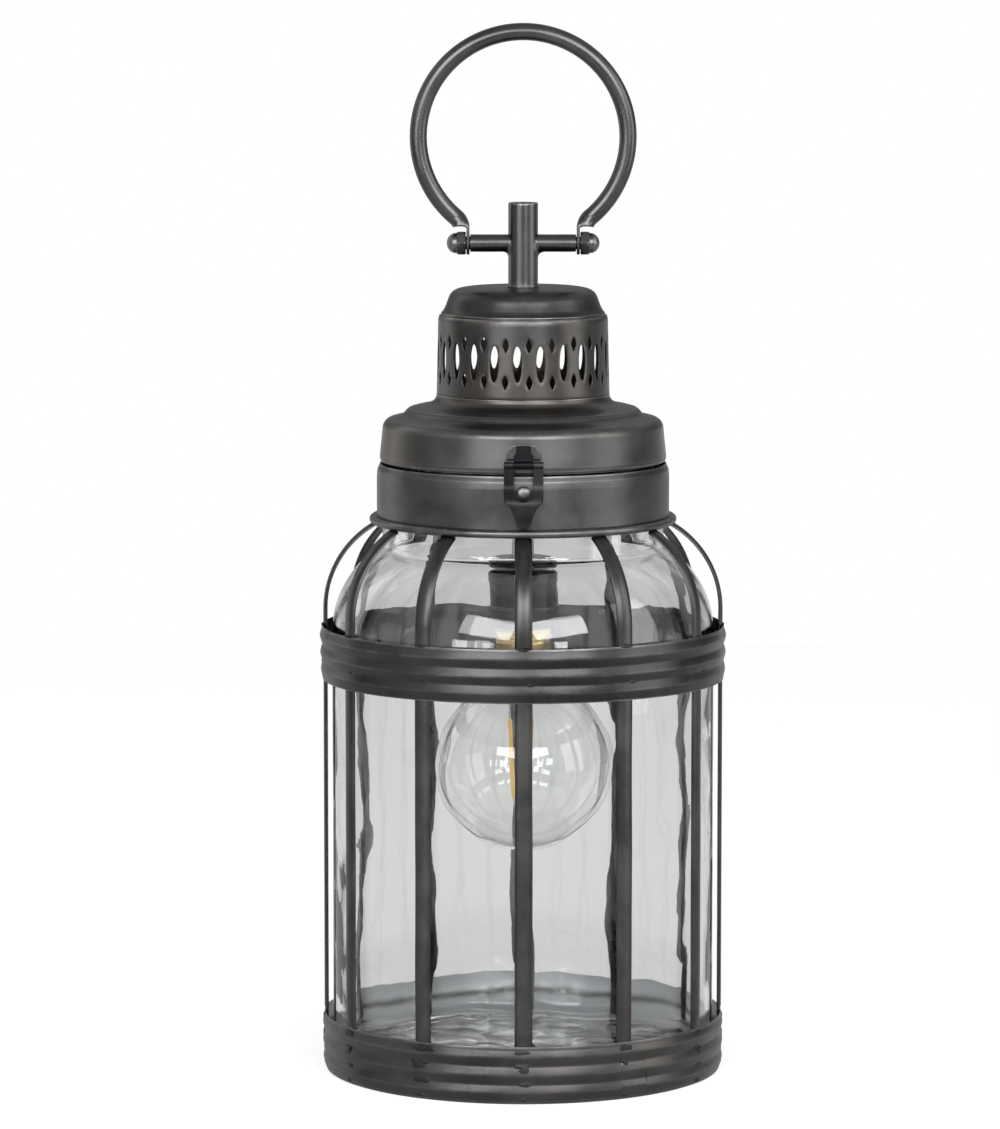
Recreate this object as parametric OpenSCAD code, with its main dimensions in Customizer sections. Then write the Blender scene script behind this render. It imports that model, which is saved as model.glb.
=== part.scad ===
// Lantern table lamp: a round glass jar in a cage of twelve ribs, with a hinged
// lid, a ring handle and a globe bulb that hangs from a bridge in the collar.
// Millimetres, +Z up, the lamp stands on z = 0 and its front looks along -Y.

/* [Cage] */
// Outer radius over the ribs
cage_r = 90.5; // [88:0.5:93]
// Width of a rib
rib_w = 7.8; // [6:0.2:9]
// Thickness of a rib at its crown
rib_t = 1.9; // [1.4:0.1:2]
// Height of the base band
base_band_h = 26; // [24:1:32]
// Height of the middle band's lower edge
mid_band_z = 179; // [150:1:182]
// Height of the middle band
mid_band_h = 24; // [20:1:25]
// Height where the shoulder starts to bend in
shoulder_z = 210; // [208:0.5:212]
// Radius of the shoulder's bend, outside the ribs
shoulder_r = 45.9; // [45:0.1:47]

/* [Glass jar] */
// Thickness of the jar's wall
glass_t = 3; // [2:0.5:4]
// Outer radius of the jar's neck
neck_r = 63.5; // [60:0.5:64]
// Height of the jar's rim
neck_top_z = 255.5; // [253:0.5:256]

/* [Collar] */
// Outer radius of the collar
collar_r = 66.1; // [66:0.1:67]
// Thickness of the spun sheet of the collar, lid and chimney
sheet_t = 0.8; // [0.6:0.1:0.9]
// Height of the collar's foot
collar_z = 253.2; // [253:0.1:254]
// Height of the seam between the collar and the lid
seam_z = 276.8; // [276.4:0.1:277.6]

/* [Lid and chimney] */
// Radius of the lid's rim
lid_r = 64.7; // [64:0.1:65]
// Radius of the pierced gallery at its foot
gallery_r = 39; // [38:0.5:40]
// Radius of the pierced gallery at its top
gallery_top_r = 38.2; // [37.8:0.1:38.8]
// Number of tall openings round the gallery
slot_count = 23; // [12:1:24]
// Height of a tall opening
slot_h = 16.2; // [12:0.2:18]
// Width of a tall opening
slot_w = 4; // [3:0.2:5]
// Height of the chimney cap's flat top
cap_top_z = 356; // [355:0.5:358]

/* [Handle] */
// Outer diameter of the ring
ring_d = 102; // [98:1:104]
// Diameter of the ring's rod
rod_d = 7.8; // [7.4:0.1:8]
// Height of the ring's centre
ring_z = 423.4; // [422:0.2:426]
// Height of the crossbar that the ring turns on
bar_z = 375.7; // [375:0.1:377]
// Diameter of the crossbar
bar_d = 8; // [7:0.5:9]
// Diameter of the post
post_d = 13.5; // [12:0.5:15]
// Height of the post's top
post_top_z = 394; // [388:1:400]

/* [Latch] */
// Width of the hasp
hasp_w = 17.5; // [16:0.5:20]
// Height of the hasp's pivot
hasp_z = 281.9; // [281.5:0.1:282.5]
// Height of the knob that the hasp's window drops over
knob_z = 269.4; // [269:0.1:270]

/* [Lamp] */
// Diameter of the globe bulb
bulb_d = 80; // [70:1:82]
// Height of the globe's centre
bulb_z = 139.7; // [136:0.1:141]
// Height of the lamp holder's open end
socket_z = 202.5; // [200:0.5:205]
// Outer radius of the lamp holder's cover
socket_r = 15.4; // [15:0.1:16]
// Height of the underside of the bridge that carries the lamp
bridge_z = 259.1; // [258:0.1:262]

/* [Hidden] */
$fn = 96;
hull_fn = 32;        // facets of the round pieces inside a hull
eps = 0.01;          // overshoot of a cutter past the face it cuts

// Fits
run_gap = 0.05;      // radial clearance of a pin that turns
fit_gap = 0.02;      // radial clearance of a fixed stud in its hole
seat_gap = 0.1;      // gap between fixed sheets that are soldered together

// Bands
band_in_r = cage_r + 0.1;   // inside of the middle band, just over the ribs
foot_in_r = cage_r - 0.5;   // inside of the base band, over the flattened rib feet
mid_groove_r = cage_r + 0.5;
mid_crest_r = [for (rise = [1.15, 1.45, 1.65]) cage_r + rise];
base_groove_r = cage_r - 0.2;
base_crest_r = [for (rise = [0.45, 0.7, 0.75]) cage_r + rise];
base_foot_r = cage_r - 2;
lap_rise = 0.2;      // how far the band's lapped end stands out
plate_t = 1.2;
cushion_t = 2;
cushion_in_r = 62;

// Ribs
rib_count = 12;
rib_in_r = cage_r - rib_t;
rib_foot_z = 2.4;
rib_foot_top_z = base_band_h + 0.2;
rib_end_z = 249.3;   // where the collar's flange covers the ribs' ends
rib_end_angle = 61;
bend_r = cage_r - shoulder_r; // distance of the bend's centre from the lamp's axis

// Jar
jar_gap = 2.1;       // play between the jar and the ribs
jar_r = rib_in_r - jar_gap;
jar_bend_r = 45;     // radius of the shoulder's round
jar_bend_z = 199.5;  // height where the shoulder starts
jar_neck_bend_r = 3; // hollow round between the shoulder and the neck
jar_bottom_z = plate_t + cushion_t;
jar_floor_z = 10;
jar_wall_z = 11.5;   // where the floor's inner round ends and the plain wall starts
heel_r = 6;

// Collar, lid and their hinge at the back
flange_r = 69.5;
flange_h = 3.7;
lid_gap = 0.4;       // gap at the seam, so that the lid and the collar don't touch
lid_rim_top_z = 291;
hinge_y = 69;
hinge_pin_r = 1.25;
knuckle_r = 2.4;
knuckle_split = 4.9; // half the length of the lid's knuckle
hinge_half_w = 12;
leaf_t = 1;
leaf_rivet_x = 8;
collar_rivet_z = 267;
lid_rivet_z = 285.5;
rivet_r = 1.2;

// Gallery and chimney
neck_foot_z = 307.5; // where the lid ends and the gallery starts
gallery_top_z = 343.5;
gallery_t = 0.9;
slot_z = 324.2;
leaf_hole_h = 7;
leaf_hole_w = 2.8;
leaf_hole_rise = 8.2; // how far the small openings lie above and below the tall ones' centre
slot_turn = -3.8;    // the first tall opening stands this far left of the front
stud_r = 4;          // the post's stud, and its lower end
stud_z = 349.6;

// Handle
bar_end_x = 23.8;
bar_stud_r = 3;
bar_stud_x = 31;
tab_in_x = 24.1;
tab_t = 1.4;
tab_r = 5.2;
nut_in_x = tab_in_x + tab_t + 0.3;
nut_h = 3.9;
nut_af = 10;
nut_dome_h = 4.6;
ring_r = (ring_d - rod_d) / 2;
ring_end_angle = 50; // how far below level the ring's circle runs before it bends down
ring_in_r = ring_d / 2 - rod_d;
arm_bend_r = (ring_in_r * cos(ring_end_angle) - tab_in_x) / (1 - cos(ring_end_angle));

// Latch
hasp_y = -67.6;      // the pivot's distance in front of the lamp's axis
hasp_bar_r = 0.95;
hasp_t = 1.2;
hasp_window_w = 8.9;
hasp_tip_z = 253.7;
keeper_w = 8.6;
keeper_r = 1.9;
knob_r = 3.3;
knob_crown_y = -69.8;
knob_stem_r = 1.6;

// Lamp
nipple_r = 5;
nipple_bore_r = 3.5;
nipple_z = 228.1;
nipple_h = 35.6;
cover_top_z = 229.2; // top of the lamp holder's cover
cover_t = 0.7;
socket_depth = 20.6;
canopy_z = 230.4;
canopy_h = 3.4;
canopy_r = 14.6;
wire_x = 1.6;
wire_r = 0.9;
wire_z = 224;
bridge_w = 22;
bridge_t = 1.6;
bridge_half_l = 62;
bridge_screw_x = 54;
bracket_t = 1.6;
m4_r = 2;
tray_z = 264.5;
tray_x = 61;
tray_y = 50;
tray_h = 12.5;
tray_wall = 1.6;
tray_leg_x = 24;
cell_r = 7.1;
cell_l = 49.2;
cell_pitch = 15.2;
switch_x = 36;
cap_r = 13.1;        // bulb cap
cap_z = 191;
cap_h = 27;
// The two lit strips, which stand a little closer at their feet
filament_z = 122.7;
filament_top_z = 159.6;
strip_x = [-4.7, 3.9];
strip_lean = 0.8;
strip_w = 2.1;
strip_t = 0.9;
bulb_t = 0.9;

// ---------------------------------------------------------------- helpers

// Points on an arc, from angle a to angle b
function arc(x, y, r, a, b, n) =
    [for (i = [0:n]) let (t = a + (b - a) * i / n) [x + r * cos(t), y + r * sin(t)]];

function unit(v) = v / norm(v);
function left_of(p, q) = unit([p[1] - q[1], q[0] - p[0]]);

// A line of points moved by t to its left
function moved(pts, t) =
    [for (i = [0:len(pts) - 1])
        let (a = left_of(pts[max(i - 1, 0)], pts[max(i, 1)]),
             b = left_of(pts[min(i, len(pts) - 2)], pts[min(i + 1, len(pts) - 1)]),
             m = unit(a + b))
        pts[i] + m * t / (m * a)];

function turned_back(pts) = [for (i = [len(pts) - 1:-1:0]) pts[i]];

// Outline of a sheet of thickness t, to the left of a line of points
function sheet(pts, t) = concat(pts, turned_back(moved(pts, t)));

// One bead of a rolled band, from height a to height b, without its last point
function bead(groove, crest, a, b) =
    let (half = (b - a) / 2, rise = crest - groove, r = (half * half + rise * rise) / (2 * rise),
         reach = asin(half / r), n = 8)
    [for (i = [0:n - 1]) let (t = -reach + 2 * reach * i / n)
        [groove + rise - r + r * cos(t), (a + b) / 2 + r * sin(t)]];

module spun(pts) rotate_extrude() polygon(pts);

// A ring of height h from z, between two radii
module ring(z, h, inner, outer) translate([0, 0, z]) difference() {
    cylinder(h = h, r = outer);
    translate([0, 0, -eps]) cylinder(h = h + 2 * eps, r = inner);
}

// A rod along X, centred on x
module rod_x(r, l, x, y, z) translate([x, y, z]) rotate([0, 90, 0]) cylinder(h = l, r = r, center = true);

// A rod along Y, from y to y + l
module rod_y(r, l, x, y, z) translate([x, y, z]) rotate([-90, 0, 0]) cylinder(h = l, r = r);

// A piece of a ring round the lamp's axis, from angle a over an angle of turn
module ring_piece(inner, outer, z, h, a, turn) rotate([0, 0, a])
    rotate_extrude(angle = turn) translate([inner, z]) square([outer - inner, h]);

// Shape with two pointed ends, for a punched opening
module leaf_shape(w, h) {
    r = (h * h + w * w) / (4 * w);
    intersection() {
        translate([r - w / 2, 0]) circle(r);
        translate([w / 2 - r, 0]) circle(r);
    }
}

// ---------------------------------------------------------------- base

module base_plate() color("#3a3836") cylinder(h = plate_t, r = base_foot_r - seat_gap);

module jar_cushion() color("#2a2725") ring(plate_t, cushion_t, cushion_in_r, jar_r - 0.5);

// Rolled band with three beads. One end laps over the other, to the right of the front.
module base_band() color("#4a4744") {
    top = base_band_h;
    beads = concat(
        bead(base_groove_r - 0.1, base_crest_r[0], 2, 9),
        bead(base_groove_r, base_crest_r[1], 9, 17.3),
        bead(base_groove_r, base_crest_r[2], 17.3, top - 0.6));
    spun(concat([[base_foot_r, 0], [base_foot_r + 1.1, 0.5]], beads,
        [[foot_in_r + 0.55, top - 0.4], [foot_in_r + 0.35, top], [foot_in_r, top],
         [foot_in_r, 2.2], [base_foot_r, 1.3]]));
    rotate([0, 0, -62]) rotate_extrude(angle = 9)
        polygon(concat([[base_groove_r - lap_rise, 2.6]],
            bead(base_groove_r + lap_rise, base_crest_r[0] + lap_rise + 0.1, 3, 9),
            bead(base_groove_r + lap_rise, base_crest_r[1] + lap_rise + 0.1, 9, 17.1),
            [[base_groove_r - lap_rise, 17.1]]));
}

module middle_band() color("#4a4744") {
    z = mid_band_z;
    top = mid_band_z + mid_band_h;
    beads = concat(
        bead(mid_groove_r, mid_crest_r[0], z + 0.7, z + 8.2),
        bead(mid_groove_r, mid_crest_r[1], z + 8.2, z + 15.6),
        bead(mid_groove_r, mid_crest_r[2], z + 15.6, top - 0.5));
    spun(concat([[band_in_r, z], [mid_groove_r, z]], beads,
        [[mid_groove_r + 0.2, top - 0.4], [mid_groove_r, top], [band_in_r, top]]));
}

// ---------------------------------------------------------------- ribs

// Half-oval section, with its flat back at x = 0
module rib_section() {
    r = (rib_w * rib_w / 4 + rib_t * rib_t) / (2 * rib_t);
    intersection() {
        translate([rib_t - r, 0]) circle(r);
        translate([0, -rib_w]) square([2 * rib_t, 2 * rib_w]);
    }
}

// One rib: a flattened foot in the base band, a straight bar, and the shoulder's bend
module rib(i) color("#4b4946") rotate([0, 0, -90 + (i - 1) * 360 / rib_count]) {
    foot_t = foot_in_r - 0.1 - rib_in_r;
    foot_w = rib_w - 0.2;
    translate([rib_in_r, -foot_w / 2, rib_foot_z]) cube([foot_t, foot_w, rib_foot_top_z - rib_foot_z]);
    translate([rib_in_r, 0, rib_foot_top_z])
        linear_extrude(shoulder_z - rib_foot_top_z) rib_section();
    intersection() {
        translate([bend_r, 0, shoulder_z]) rotate([90, 0, 0])
            rotate_extrude(angle = rib_end_angle) translate([shoulder_r - rib_t, 0]) rib_section();
        translate([0, -rib_w, shoulder_z]) cube([cage_r + 1, 2 * rib_w, rib_end_z - shoulder_z]);
    }
}

// ---------------------------------------------------------------- jar

// The jar is one piece of glass. It is drawn as its floor, its wall and its shoulder with the neck.

module jar_floor() color("#d7e4e0", 0.35) {
    heel_in_r = jar_wall_z - jar_floor_z;
    spun(concat(
        [[0, jar_bottom_z + 1.6], [70, jar_bottom_z + 1.2], [78, jar_bottom_z]],
        arc(jar_r - heel_r, jar_bottom_z + heel_r, heel_r, -90, 0, 8),
        [[jar_r, jar_wall_z]],
        arc(jar_r - glass_t - heel_in_r, jar_wall_z, heel_in_r, 0, -90, 4),
        [[0, jar_floor_z]]));
}

module jar_wall() color("#d7e4e0", 0.35)
    ring(jar_wall_z, jar_bend_z - jar_wall_z, jar_r - glass_t, jar_r);

module jar_shoulder() color("#d7e4e0", 0.35) {
    lip_r = glass_t / 2;
    // The shoulder's round and the neck's hollow round touch in one point
    bend_x = jar_r - jar_bend_r;
    hollow_x = neck_r + jar_neck_bend_r;
    lean = acos((hollow_x - bend_x) / (jar_bend_r + jar_neck_bend_r));
    hollow_z = jar_bend_z + (jar_bend_r + jar_neck_bend_r) * sin(lean);
    spun(concat(
        arc(bend_x, jar_bend_z, jar_bend_r, 0, lean, 16),
        arc(hollow_x, hollow_z, jar_neck_bend_r, 180 + lean, 180, 4),
        arc(neck_r - lip_r, neck_top_z - lip_r, lip_r, 0, 180, 8),
        arc(hollow_x, hollow_z, jar_neck_bend_r + glass_t, 180, 180 + lean, 6),
        arc(bend_x, jar_bend_z, jar_bend_r - glass_t, lean, 0, 16)));
}

module neck_gasket() color("#222222")
    ring(rib_end_z + 0.9, 4.4, neck_r + seat_gap, collar_r - sheet_t - seat_gap);

// ---------------------------------------------------------------- collar

// Bead at the collar's foot, which covers the ribs' ends
module collar_flange() color("#4f4c49") {
    z = rib_end_z + 0.1;
    in_r = collar_r - sheet_t;
    r = flange_h / 2;
    spun(concat([[in_r, z]], arc(flange_r - r, z + r, r, -90, 90, 10), [[in_r, z + flange_h]]));
}

module collar() color("#4f4c49") difference() {
    spun(sheet([
        [collar_r, collar_z], [collar_r, 271], [collar_r - 0.2, 274], [collar_r - 0.9, 275.6],
        [collar_r - 1.2, seam_z - 0.5]], sheet_t));
    rod_y(knob_stem_r + fit_gap, 4, 0, -collar_r - 1, knob_z);
    for (x = [-leaf_rivet_x, leaf_rivet_x]) rod_y(rivet_r + fit_gap, 8, x, collar_r - 5, collar_rivet_z);
}

module knuckle(x, l) rod_x(knuckle_r, l, x, hinge_y, seam_z);

// Plate of a hinge leaf, bent round the wall of radius r, and the strips that reach the knuckles
module leaf_plate(r, z, h, rivet_z) difference() {
    turn = 2 * asin(hinge_half_w / r);
    ring_piece(r, r + leaf_t, z, h, 90 - turn / 2, turn);
    for (x = [-leaf_rivet_x, leaf_rivet_x]) rod_y(rivet_r + fit_gap, 8, x, r - 5, rivet_z);
}

module hinge_leaf_collar() color("#45423f") difference() {
    r = collar_r + seat_gap;
    knuckle_l = hinge_half_w - knuckle_split - 0.3;
    union() {
        leaf_plate(r, 261, seam_z - 3 - 261, collar_rivet_z);
        for (s = [-1, 1]) {
            x = s * (knuckle_split + 0.3 + knuckle_l / 2);
            knuckle(x, knuckle_l);
            translate([x - knuckle_l / 2, r + 0.2, seam_z - 4.6])
                cube([knuckle_l, hinge_y + knuckle_r - r - 1, 3]);
        }
    }
    rod_x(hinge_pin_r + fit_gap, 2 * hinge_half_w + 2, 0, hinge_y, seam_z);
}

module collar_rivets() color("#5a5753") for (x = [-leaf_rivet_x, leaf_rivet_x])
    rivet(x, sqrt(pow(collar_r + seat_gap + leaf_t, 2) - x * x), collar_rivet_z, 2.3);

// A rivet with two domed heads, for a leaf whose outer face is at y. Its inner head is grip below.
module rivet(x, y, z, grip) translate([x, y, z]) rotate([-90, 0, 0]) rotate_extrude() polygon(concat(
    [[0, -grip - 0.7], [1.6, -grip - 0.7], [2, -grip - 0.3], [2, -grip], [rivet_r, -grip],
     [rivet_r, 0.35], [2.2, 0.35]],
    arc(0, 0.35, 2, 30, 90, 4)));

// Domed knob that is riveted through the collar's front
module latch_knob() color("#6a6764") translate([0, 0, knob_z]) rotate([90, 0, 0]) rotate_extrude()
    polygon([[0, 64.1], [2.6, 64.1], [2.6, 64.8], [knob_stem_r, 65.1], [knob_stem_r, 67.4],
        [knob_r - 0.3, 67.4], [knob_r, 67.8], [knob_r - 0.2, 68.5], [knob_r - 0.9, 69.2],
        [knob_r - 2, 69.65], [0, -knob_crown_y]]);

// ---------------------------------------------------------------- bridge and batteries

// Two angle brackets that are soldered inside the collar
module bridge_brackets() color("#55524f") difference() {
    wall_r = collar_r - sheet_t - seat_gap;
    for (a = [0, 180]) rotate([0, 0, a]) intersection() {
        cylinder(h = 400, r = wall_r);
        union() {
            translate([46, -bridge_w / 2, bridge_z - bracket_t]) cube([30, bridge_w, bracket_t]);
            difference() {
                translate([46, -bridge_w / 2, bridge_z - bracket_t]) cube([30, bridge_w, 11]);
                cylinder(h = 400, r = wall_r - bracket_t);
            }
        }
    }
    for (x = [-bridge_screw_x, bridge_screw_x])
        translate([x, 0, bridge_z - 5]) cylinder(h = 8, r = m4_r + fit_gap);
}

// Strip across the collar, which carries the lamp holder below and the batteries above
module lamp_bridge() color("#55524f") difference() {
    translate([-bridge_half_l, -bridge_w / 2, bridge_z]) cube([2 * bridge_half_l, bridge_w, bridge_t]);
    for (x = [-bridge_screw_x, bridge_screw_x])
        translate([x, 0, bridge_z - 1]) cylinder(h = 4, r = m4_r + 0.2);
    translate([0, 0, bridge_z - 1]) cylinder(h = 4, r = nipple_r + seat_gap);
    for (x = [-tray_leg_x, tray_leg_x])
        translate([x, 0, bridge_z - 1]) cylinder(h = 4, r = 1.6);
}

// Two screws into the brackets, and two from below into the tray's legs
module bridge_screws() color("#8a8885") {
    for (x = [-bridge_screw_x, bridge_screw_x]) translate([x, 0, bridge_z + bridge_t]) {
        translate([0, 0, -6]) cylinder(h = 6, r = m4_r);
        cylinder(h = 2.6, r = 3.8);
    }
    for (x = [-tray_leg_x, tray_leg_x]) translate([x, 0, bridge_z]) {
        translate([0, 0, -1.8]) cylinder(h = 1.7, r = 2.6);
        translate([0, 0, -0.2]) cylinder(h = 4.5, r = 1.15);
    }
}

// Open tray for three cells side by side, on two legs
module battery_tray() color("#1d1d1f") difference() {
    union() {
        translate([-tray_x / 2, -tray_y / 2, tray_z]) cube([tray_x, tray_y, tray_h]);
        for (x = [-tray_leg_x, tray_leg_x]) translate([x, 0, bridge_z + bridge_t])
            cylinder(h = tray_z - bridge_z - bridge_t + eps, r = 4);
    }
    for (y = [-cell_pitch, 0, cell_pitch])
        translate([-tray_x / 2 + tray_wall, y - cell_pitch / 2 + 0.4, tray_z + tray_wall])
            cube([tray_x - 2 * tray_wall, cell_pitch - 0.8, tray_h]);
    for (x = [-tray_leg_x, tray_leg_x]) translate([x, 0, bridge_z - 1]) cylinder(h = 5.6, r = 1.2);
    for (x = [-1.6, 1.6]) translate([x, 0, tray_z - 1]) cylinder(h = 4, r = 1.1);
}

module batteries() color("#3f5a48") for (y = [-1, 0, 1]) {
    turn = y == 0 ? -1 : 1;
    translate([-turn * cell_l / 2, y * cell_pitch, tray_z + tray_wall + cell_r + 0.1])
        rotate([0, turn * 90, 0]) {
            cylinder(h = cell_l, r = cell_r);
            translate([0, 0, cell_l - eps]) cylinder(h = 1.3, r = 2.7);
        }
}

// A spring coil block and a flat plate at the ends of each cell
module battery_contacts() color("#c9c7c0") for (y = [-1, 0, 1]) {
    turn = y == 0 ? -1 : 1;
    z = tray_z + tray_wall + cell_r + 0.1;
    end_x = tray_x / 2 - tray_wall;
    translate([turn * (end_x - 0.3), y * cell_pitch, z]) cube([0.4, 10, 9], center = true);
    translate([-turn * (end_x - 0.3), y * cell_pitch, z]) cube([0.4, 10, 9], center = true);
    translate([-turn * (end_x - 0.5), y * cell_pitch, z]) rotate([0, turn * 90, 0])
        cylinder(h = 3.6, r1 = 3.6, r2 = 2.4);
}

module switch_housing() color("#1d1d1f") difference() {
    translate([tray_x / 2 + seat_gap, -8, tray_z + 1]) cube([10, 16, 10]);
    translate([switch_x - 2.2, -4.6, tray_z + 4]) cube([4.4, 9.2, 8]);
}

module switch_slider() color("#d8d6d0") {
    translate([switch_x - 1.9, -4.3, tray_z + 4.3]) cube([3.8, 4.4, 8.4]);
    for (y = [-3.8, -2.4, -1])
        translate([switch_x - 1.9, y, tray_z + 12.6]) cube([3.8, 0.6, 0.6]);
}

// ---------------------------------------------------------------- lamp holder

module nipple() color("#6f6c68") translate([0, 0, nipple_z]) difference() {
    cylinder(h = nipple_h, r = nipple_r);
    translate([0, 0, -1]) cylinder(h = nipple_h + 2, r = nipple_bore_r);
}

module hex_nut(z, h, af, bore) translate([0, 0, z]) difference() {
    cylinder(h = h, r = af / 2 / cos(30), $fn = 6);
    translate([0, 0, -1]) cylinder(h = h + 2, r = bore);
}

module nipple_nuts() color("#77746f") {
    hex_nut(bridge_z - 3.1, 3, 14, nipple_r + fit_gap);
    hex_nut(bridge_z + bridge_t + 0.1, 2.6, 14, nipple_r + fit_gap);
}

module lamp_wires() color("#7a2c22") for (x = [-wire_x, wire_x])
    translate([x, 0, wire_z]) cylinder(h = tray_z + tray_wall - wire_z, r = wire_r);

// Round canopy on the nipple, over the lamp holder
module socket_canopy() color("#3d3a38") translate([0, 0, canopy_z]) difference() {
    cylinder(h = canopy_h, r = canopy_r);
    translate([0, 0, -1]) cylinder(h = canopy_h + 2, r = nipple_r + fit_gap);
}

module socket_cover() color("#3d3a38") spun(sheet([
    [socket_r, socket_z], [socket_r, cover_top_z - 5.6], [socket_r + 0.3, cover_top_z - 5.2],
    [socket_r + 0.3, cover_top_z - 1.6], [socket_r - 0.6, cover_top_z - 0.3],
    [nipple_r + 0.1, cover_top_z]], cover_t));

module socket_insulator() color("#e6e1d6") difference() {
    foot = socket_z + 1;
    top = cover_top_z - cover_t - 0.7;
    translate([0, 0, foot]) cylinder(h = top - foot, r = socket_r - cover_t - seat_gap);
    translate([0, 0, socket_z]) cylinder(h = socket_depth, r = 13.95);
    for (x = [-wire_x, wire_x]) translate([x, 0, socket_z + 17.5]) cylinder(h = 12, r = wire_r + seat_gap);
}

module socket_shell() color("#b9a26a") ring(socket_z + 2, 17, 13.45, 13.85);

module socket_contact() color("#c9a24a")
    translate([0, 0, socket_z + socket_depth - 0.7]) cylinder(h = 0.6, r = 5);

// ---------------------------------------------------------------- bulb

// Threaded cap: the crests and roots of its rolled thread
module bulb_cap() color("#b99a55") {
    pitch = 3.6;
    turns = 5;
    first = cap_z + 4.5;
    crest = [for (i = [0:turns - 1]) each [[cap_r - 1, first + i * pitch],
        [cap_r, first + (i + 0.35) * pitch], [cap_r, first + (i + 0.65) * pitch]]];
    top = cap_z + cap_h;
    spun(sheet(concat([[cap_r - 0.3, cap_z], [cap_r - 0.3, first - 0.8]], crest,
        [[cap_r - 1, top - 3], [cap_r - 3.5, top]]), 0.3));
}

module bulb_contact() color("#26262a") {
    top = cap_z + cap_h;
    translate([0, 0, top + 0.05]) cylinder(h = 2, r1 = cap_r - 3.6, r2 = 5.5);
    translate([0, 0, top + 2]) cylinder(h = 1.4, r = 4.2);
}

// Blown globe with a neck that runs into the cap
module bulb_glass() color("#eef2f2", 0.3) {
    r = bulb_d / 2;
    neck = 12.2;
    flare_r = 20;
    // The neck's flare touches the globe and the neck
    flare_x = neck + flare_r;
    lean = acos(flare_x / (r + flare_r));
    flare_z = bulb_z + (r + flare_r) * sin(lean);
    spun(concat(
        arc(0, bulb_z, r, -90, lean, 36),
        arc(flare_x, flare_z, flare_r, 180 + lean, 180, 8),
        [[neck, cap_z + 3.5], [neck - bulb_t, cap_z + 3.5]],
        arc(flare_x, flare_z, flare_r + bulb_t, 180, 180 + lean, 8),
        arc(0, bulb_z, r - bulb_t, lean, -90, 36)));
}

module bulb_stem() color("#e4eaea", 0.4) spun([
    [0, 164], [1.9, 164.4], [2.6, 168], [2.6, 180], [4, 186], [8.5, 190.5], [10.6, 191.6],
    [10.6, 192.4], [7, 192.4], [3, 188], [0, 186]]);

module bulb_filament() color("#e8a33a") for (x = strip_x) hull() {
    translate([x - strip_w / 2, -strip_t / 2, filament_top_z - eps]) cube([strip_w, strip_t, eps]);
    translate([foot_x(x) - strip_w / 2, -strip_t / 2, filament_z]) cube([strip_w, strip_t, eps]);
}

function foot_x(x) = x - sign(x) * strip_lean;

// Quarter turn of wire in the XZ plane, about (x, z), from start degrees on
module wire_bend(r, bend_r, x, z, start) translate([x, 0, z]) rotate([90, 0, 0]) rotate([0, 0, start])
    rotate_extrude(angle = 90) translate([bend_r, 0]) circle(r = r);

// A wire from each strip's head into the stem, and one that joins their feet
module bulb_leads() color("#9a9894") {
    r = 0.4;
    bend_r = 0.9;
    gap = 0.05;
    top_z = 172;
    stem_x = 2.65;
    high = top_z - bend_r;
    for (x = strip_x) {
        s = sign(x);
        inner = x - s * bend_r;
        translate([x, 0, filament_top_z + gap]) cylinder(h = high - filament_top_z - gap, r = r);
        wire_bend(r, bend_r, inner, high, s > 0 ? 0 : 90);
        rod_x(r, abs(inner) - stem_x, (inner + s * stem_x) / 2, 0, top_z);
    }
    low = filament_z - 2.2;
    left = foot_x(strip_x[0]);
    right = foot_x(strip_x[1]);
    for (x = [left, right]) translate([x, 0, low]) cylinder(h = filament_z - gap - low, r = r);
    wire_bend(r, bend_r, left + bend_r, low, 180);
    wire_bend(r, bend_r, right - bend_r, low, 270);
    rod_x(r, right - left - 2 * bend_r, (left + right) / 2, 0, low - bend_r);
}

// ---------------------------------------------------------------- lid

module lid_shell() color("#54504c") difference() {
    spun(sheet(concat(
        // rim
        [[lid_r - 1.6, seam_z + lid_gap], [lid_r - 0.6, seam_z + lid_gap + 0.3],
         [lid_r - 0.1, seam_z + lid_gap + 1.2], [lid_r, 280], [lid_r - 0.35, 284],
         [lid_r - 1.2, lid_rim_top_z]],
        // shoulder, then the step and the slope up to the neck
        arc(lid_r - 6.1, lid_rim_top_z + 1.3, 4.9, 3, 72, 6),
        [[55.2, 298.3], [53.6, 299.2], [52.4, 300.5], [50.2, 301.8], [45.6, 302.7], [42.4, 303.5]],
        arc(gallery_r + 4.4, neck_foot_z + 0.4, 4.3, 230, 180, 5)), sheet_t));
    for (x = [-leaf_rivet_x, leaf_rivet_x]) rod_y(rivet_r + fit_gap, 8, x, lid_r - 5, lid_rivet_z);
}

// Pierced tube: a row of tall openings, with small leaf-shaped ones between them
module vent_gallery() color("#54504c") difference() {
    spun(sheet([[gallery_r + 0.1, neck_foot_z + 0.6], [gallery_r, neck_foot_z + 3],
        [gallery_top_r, gallery_top_z - 0.6], [gallery_top_r - 0.15, gallery_top_z]], gallery_t));
    for (i = [0:slot_count - 1]) rotate([0, 0, slot_turn + i * 360 / slot_count]) {
        punched(slot_w, slot_h, slot_z);
        rotate([0, 0, 180 / slot_count]) for (s = [-1, 1])
            punched(leaf_hole_w, leaf_hole_h, slot_z + s * leaf_hole_rise);
    }
}

// Cutter for one opening in the gallery's front
module punched(w, h, z) translate([0, -gallery_top_r + 4, z]) rotate([90, 0, 0])
    linear_extrude(8) leaf_shape(w, h);

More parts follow.
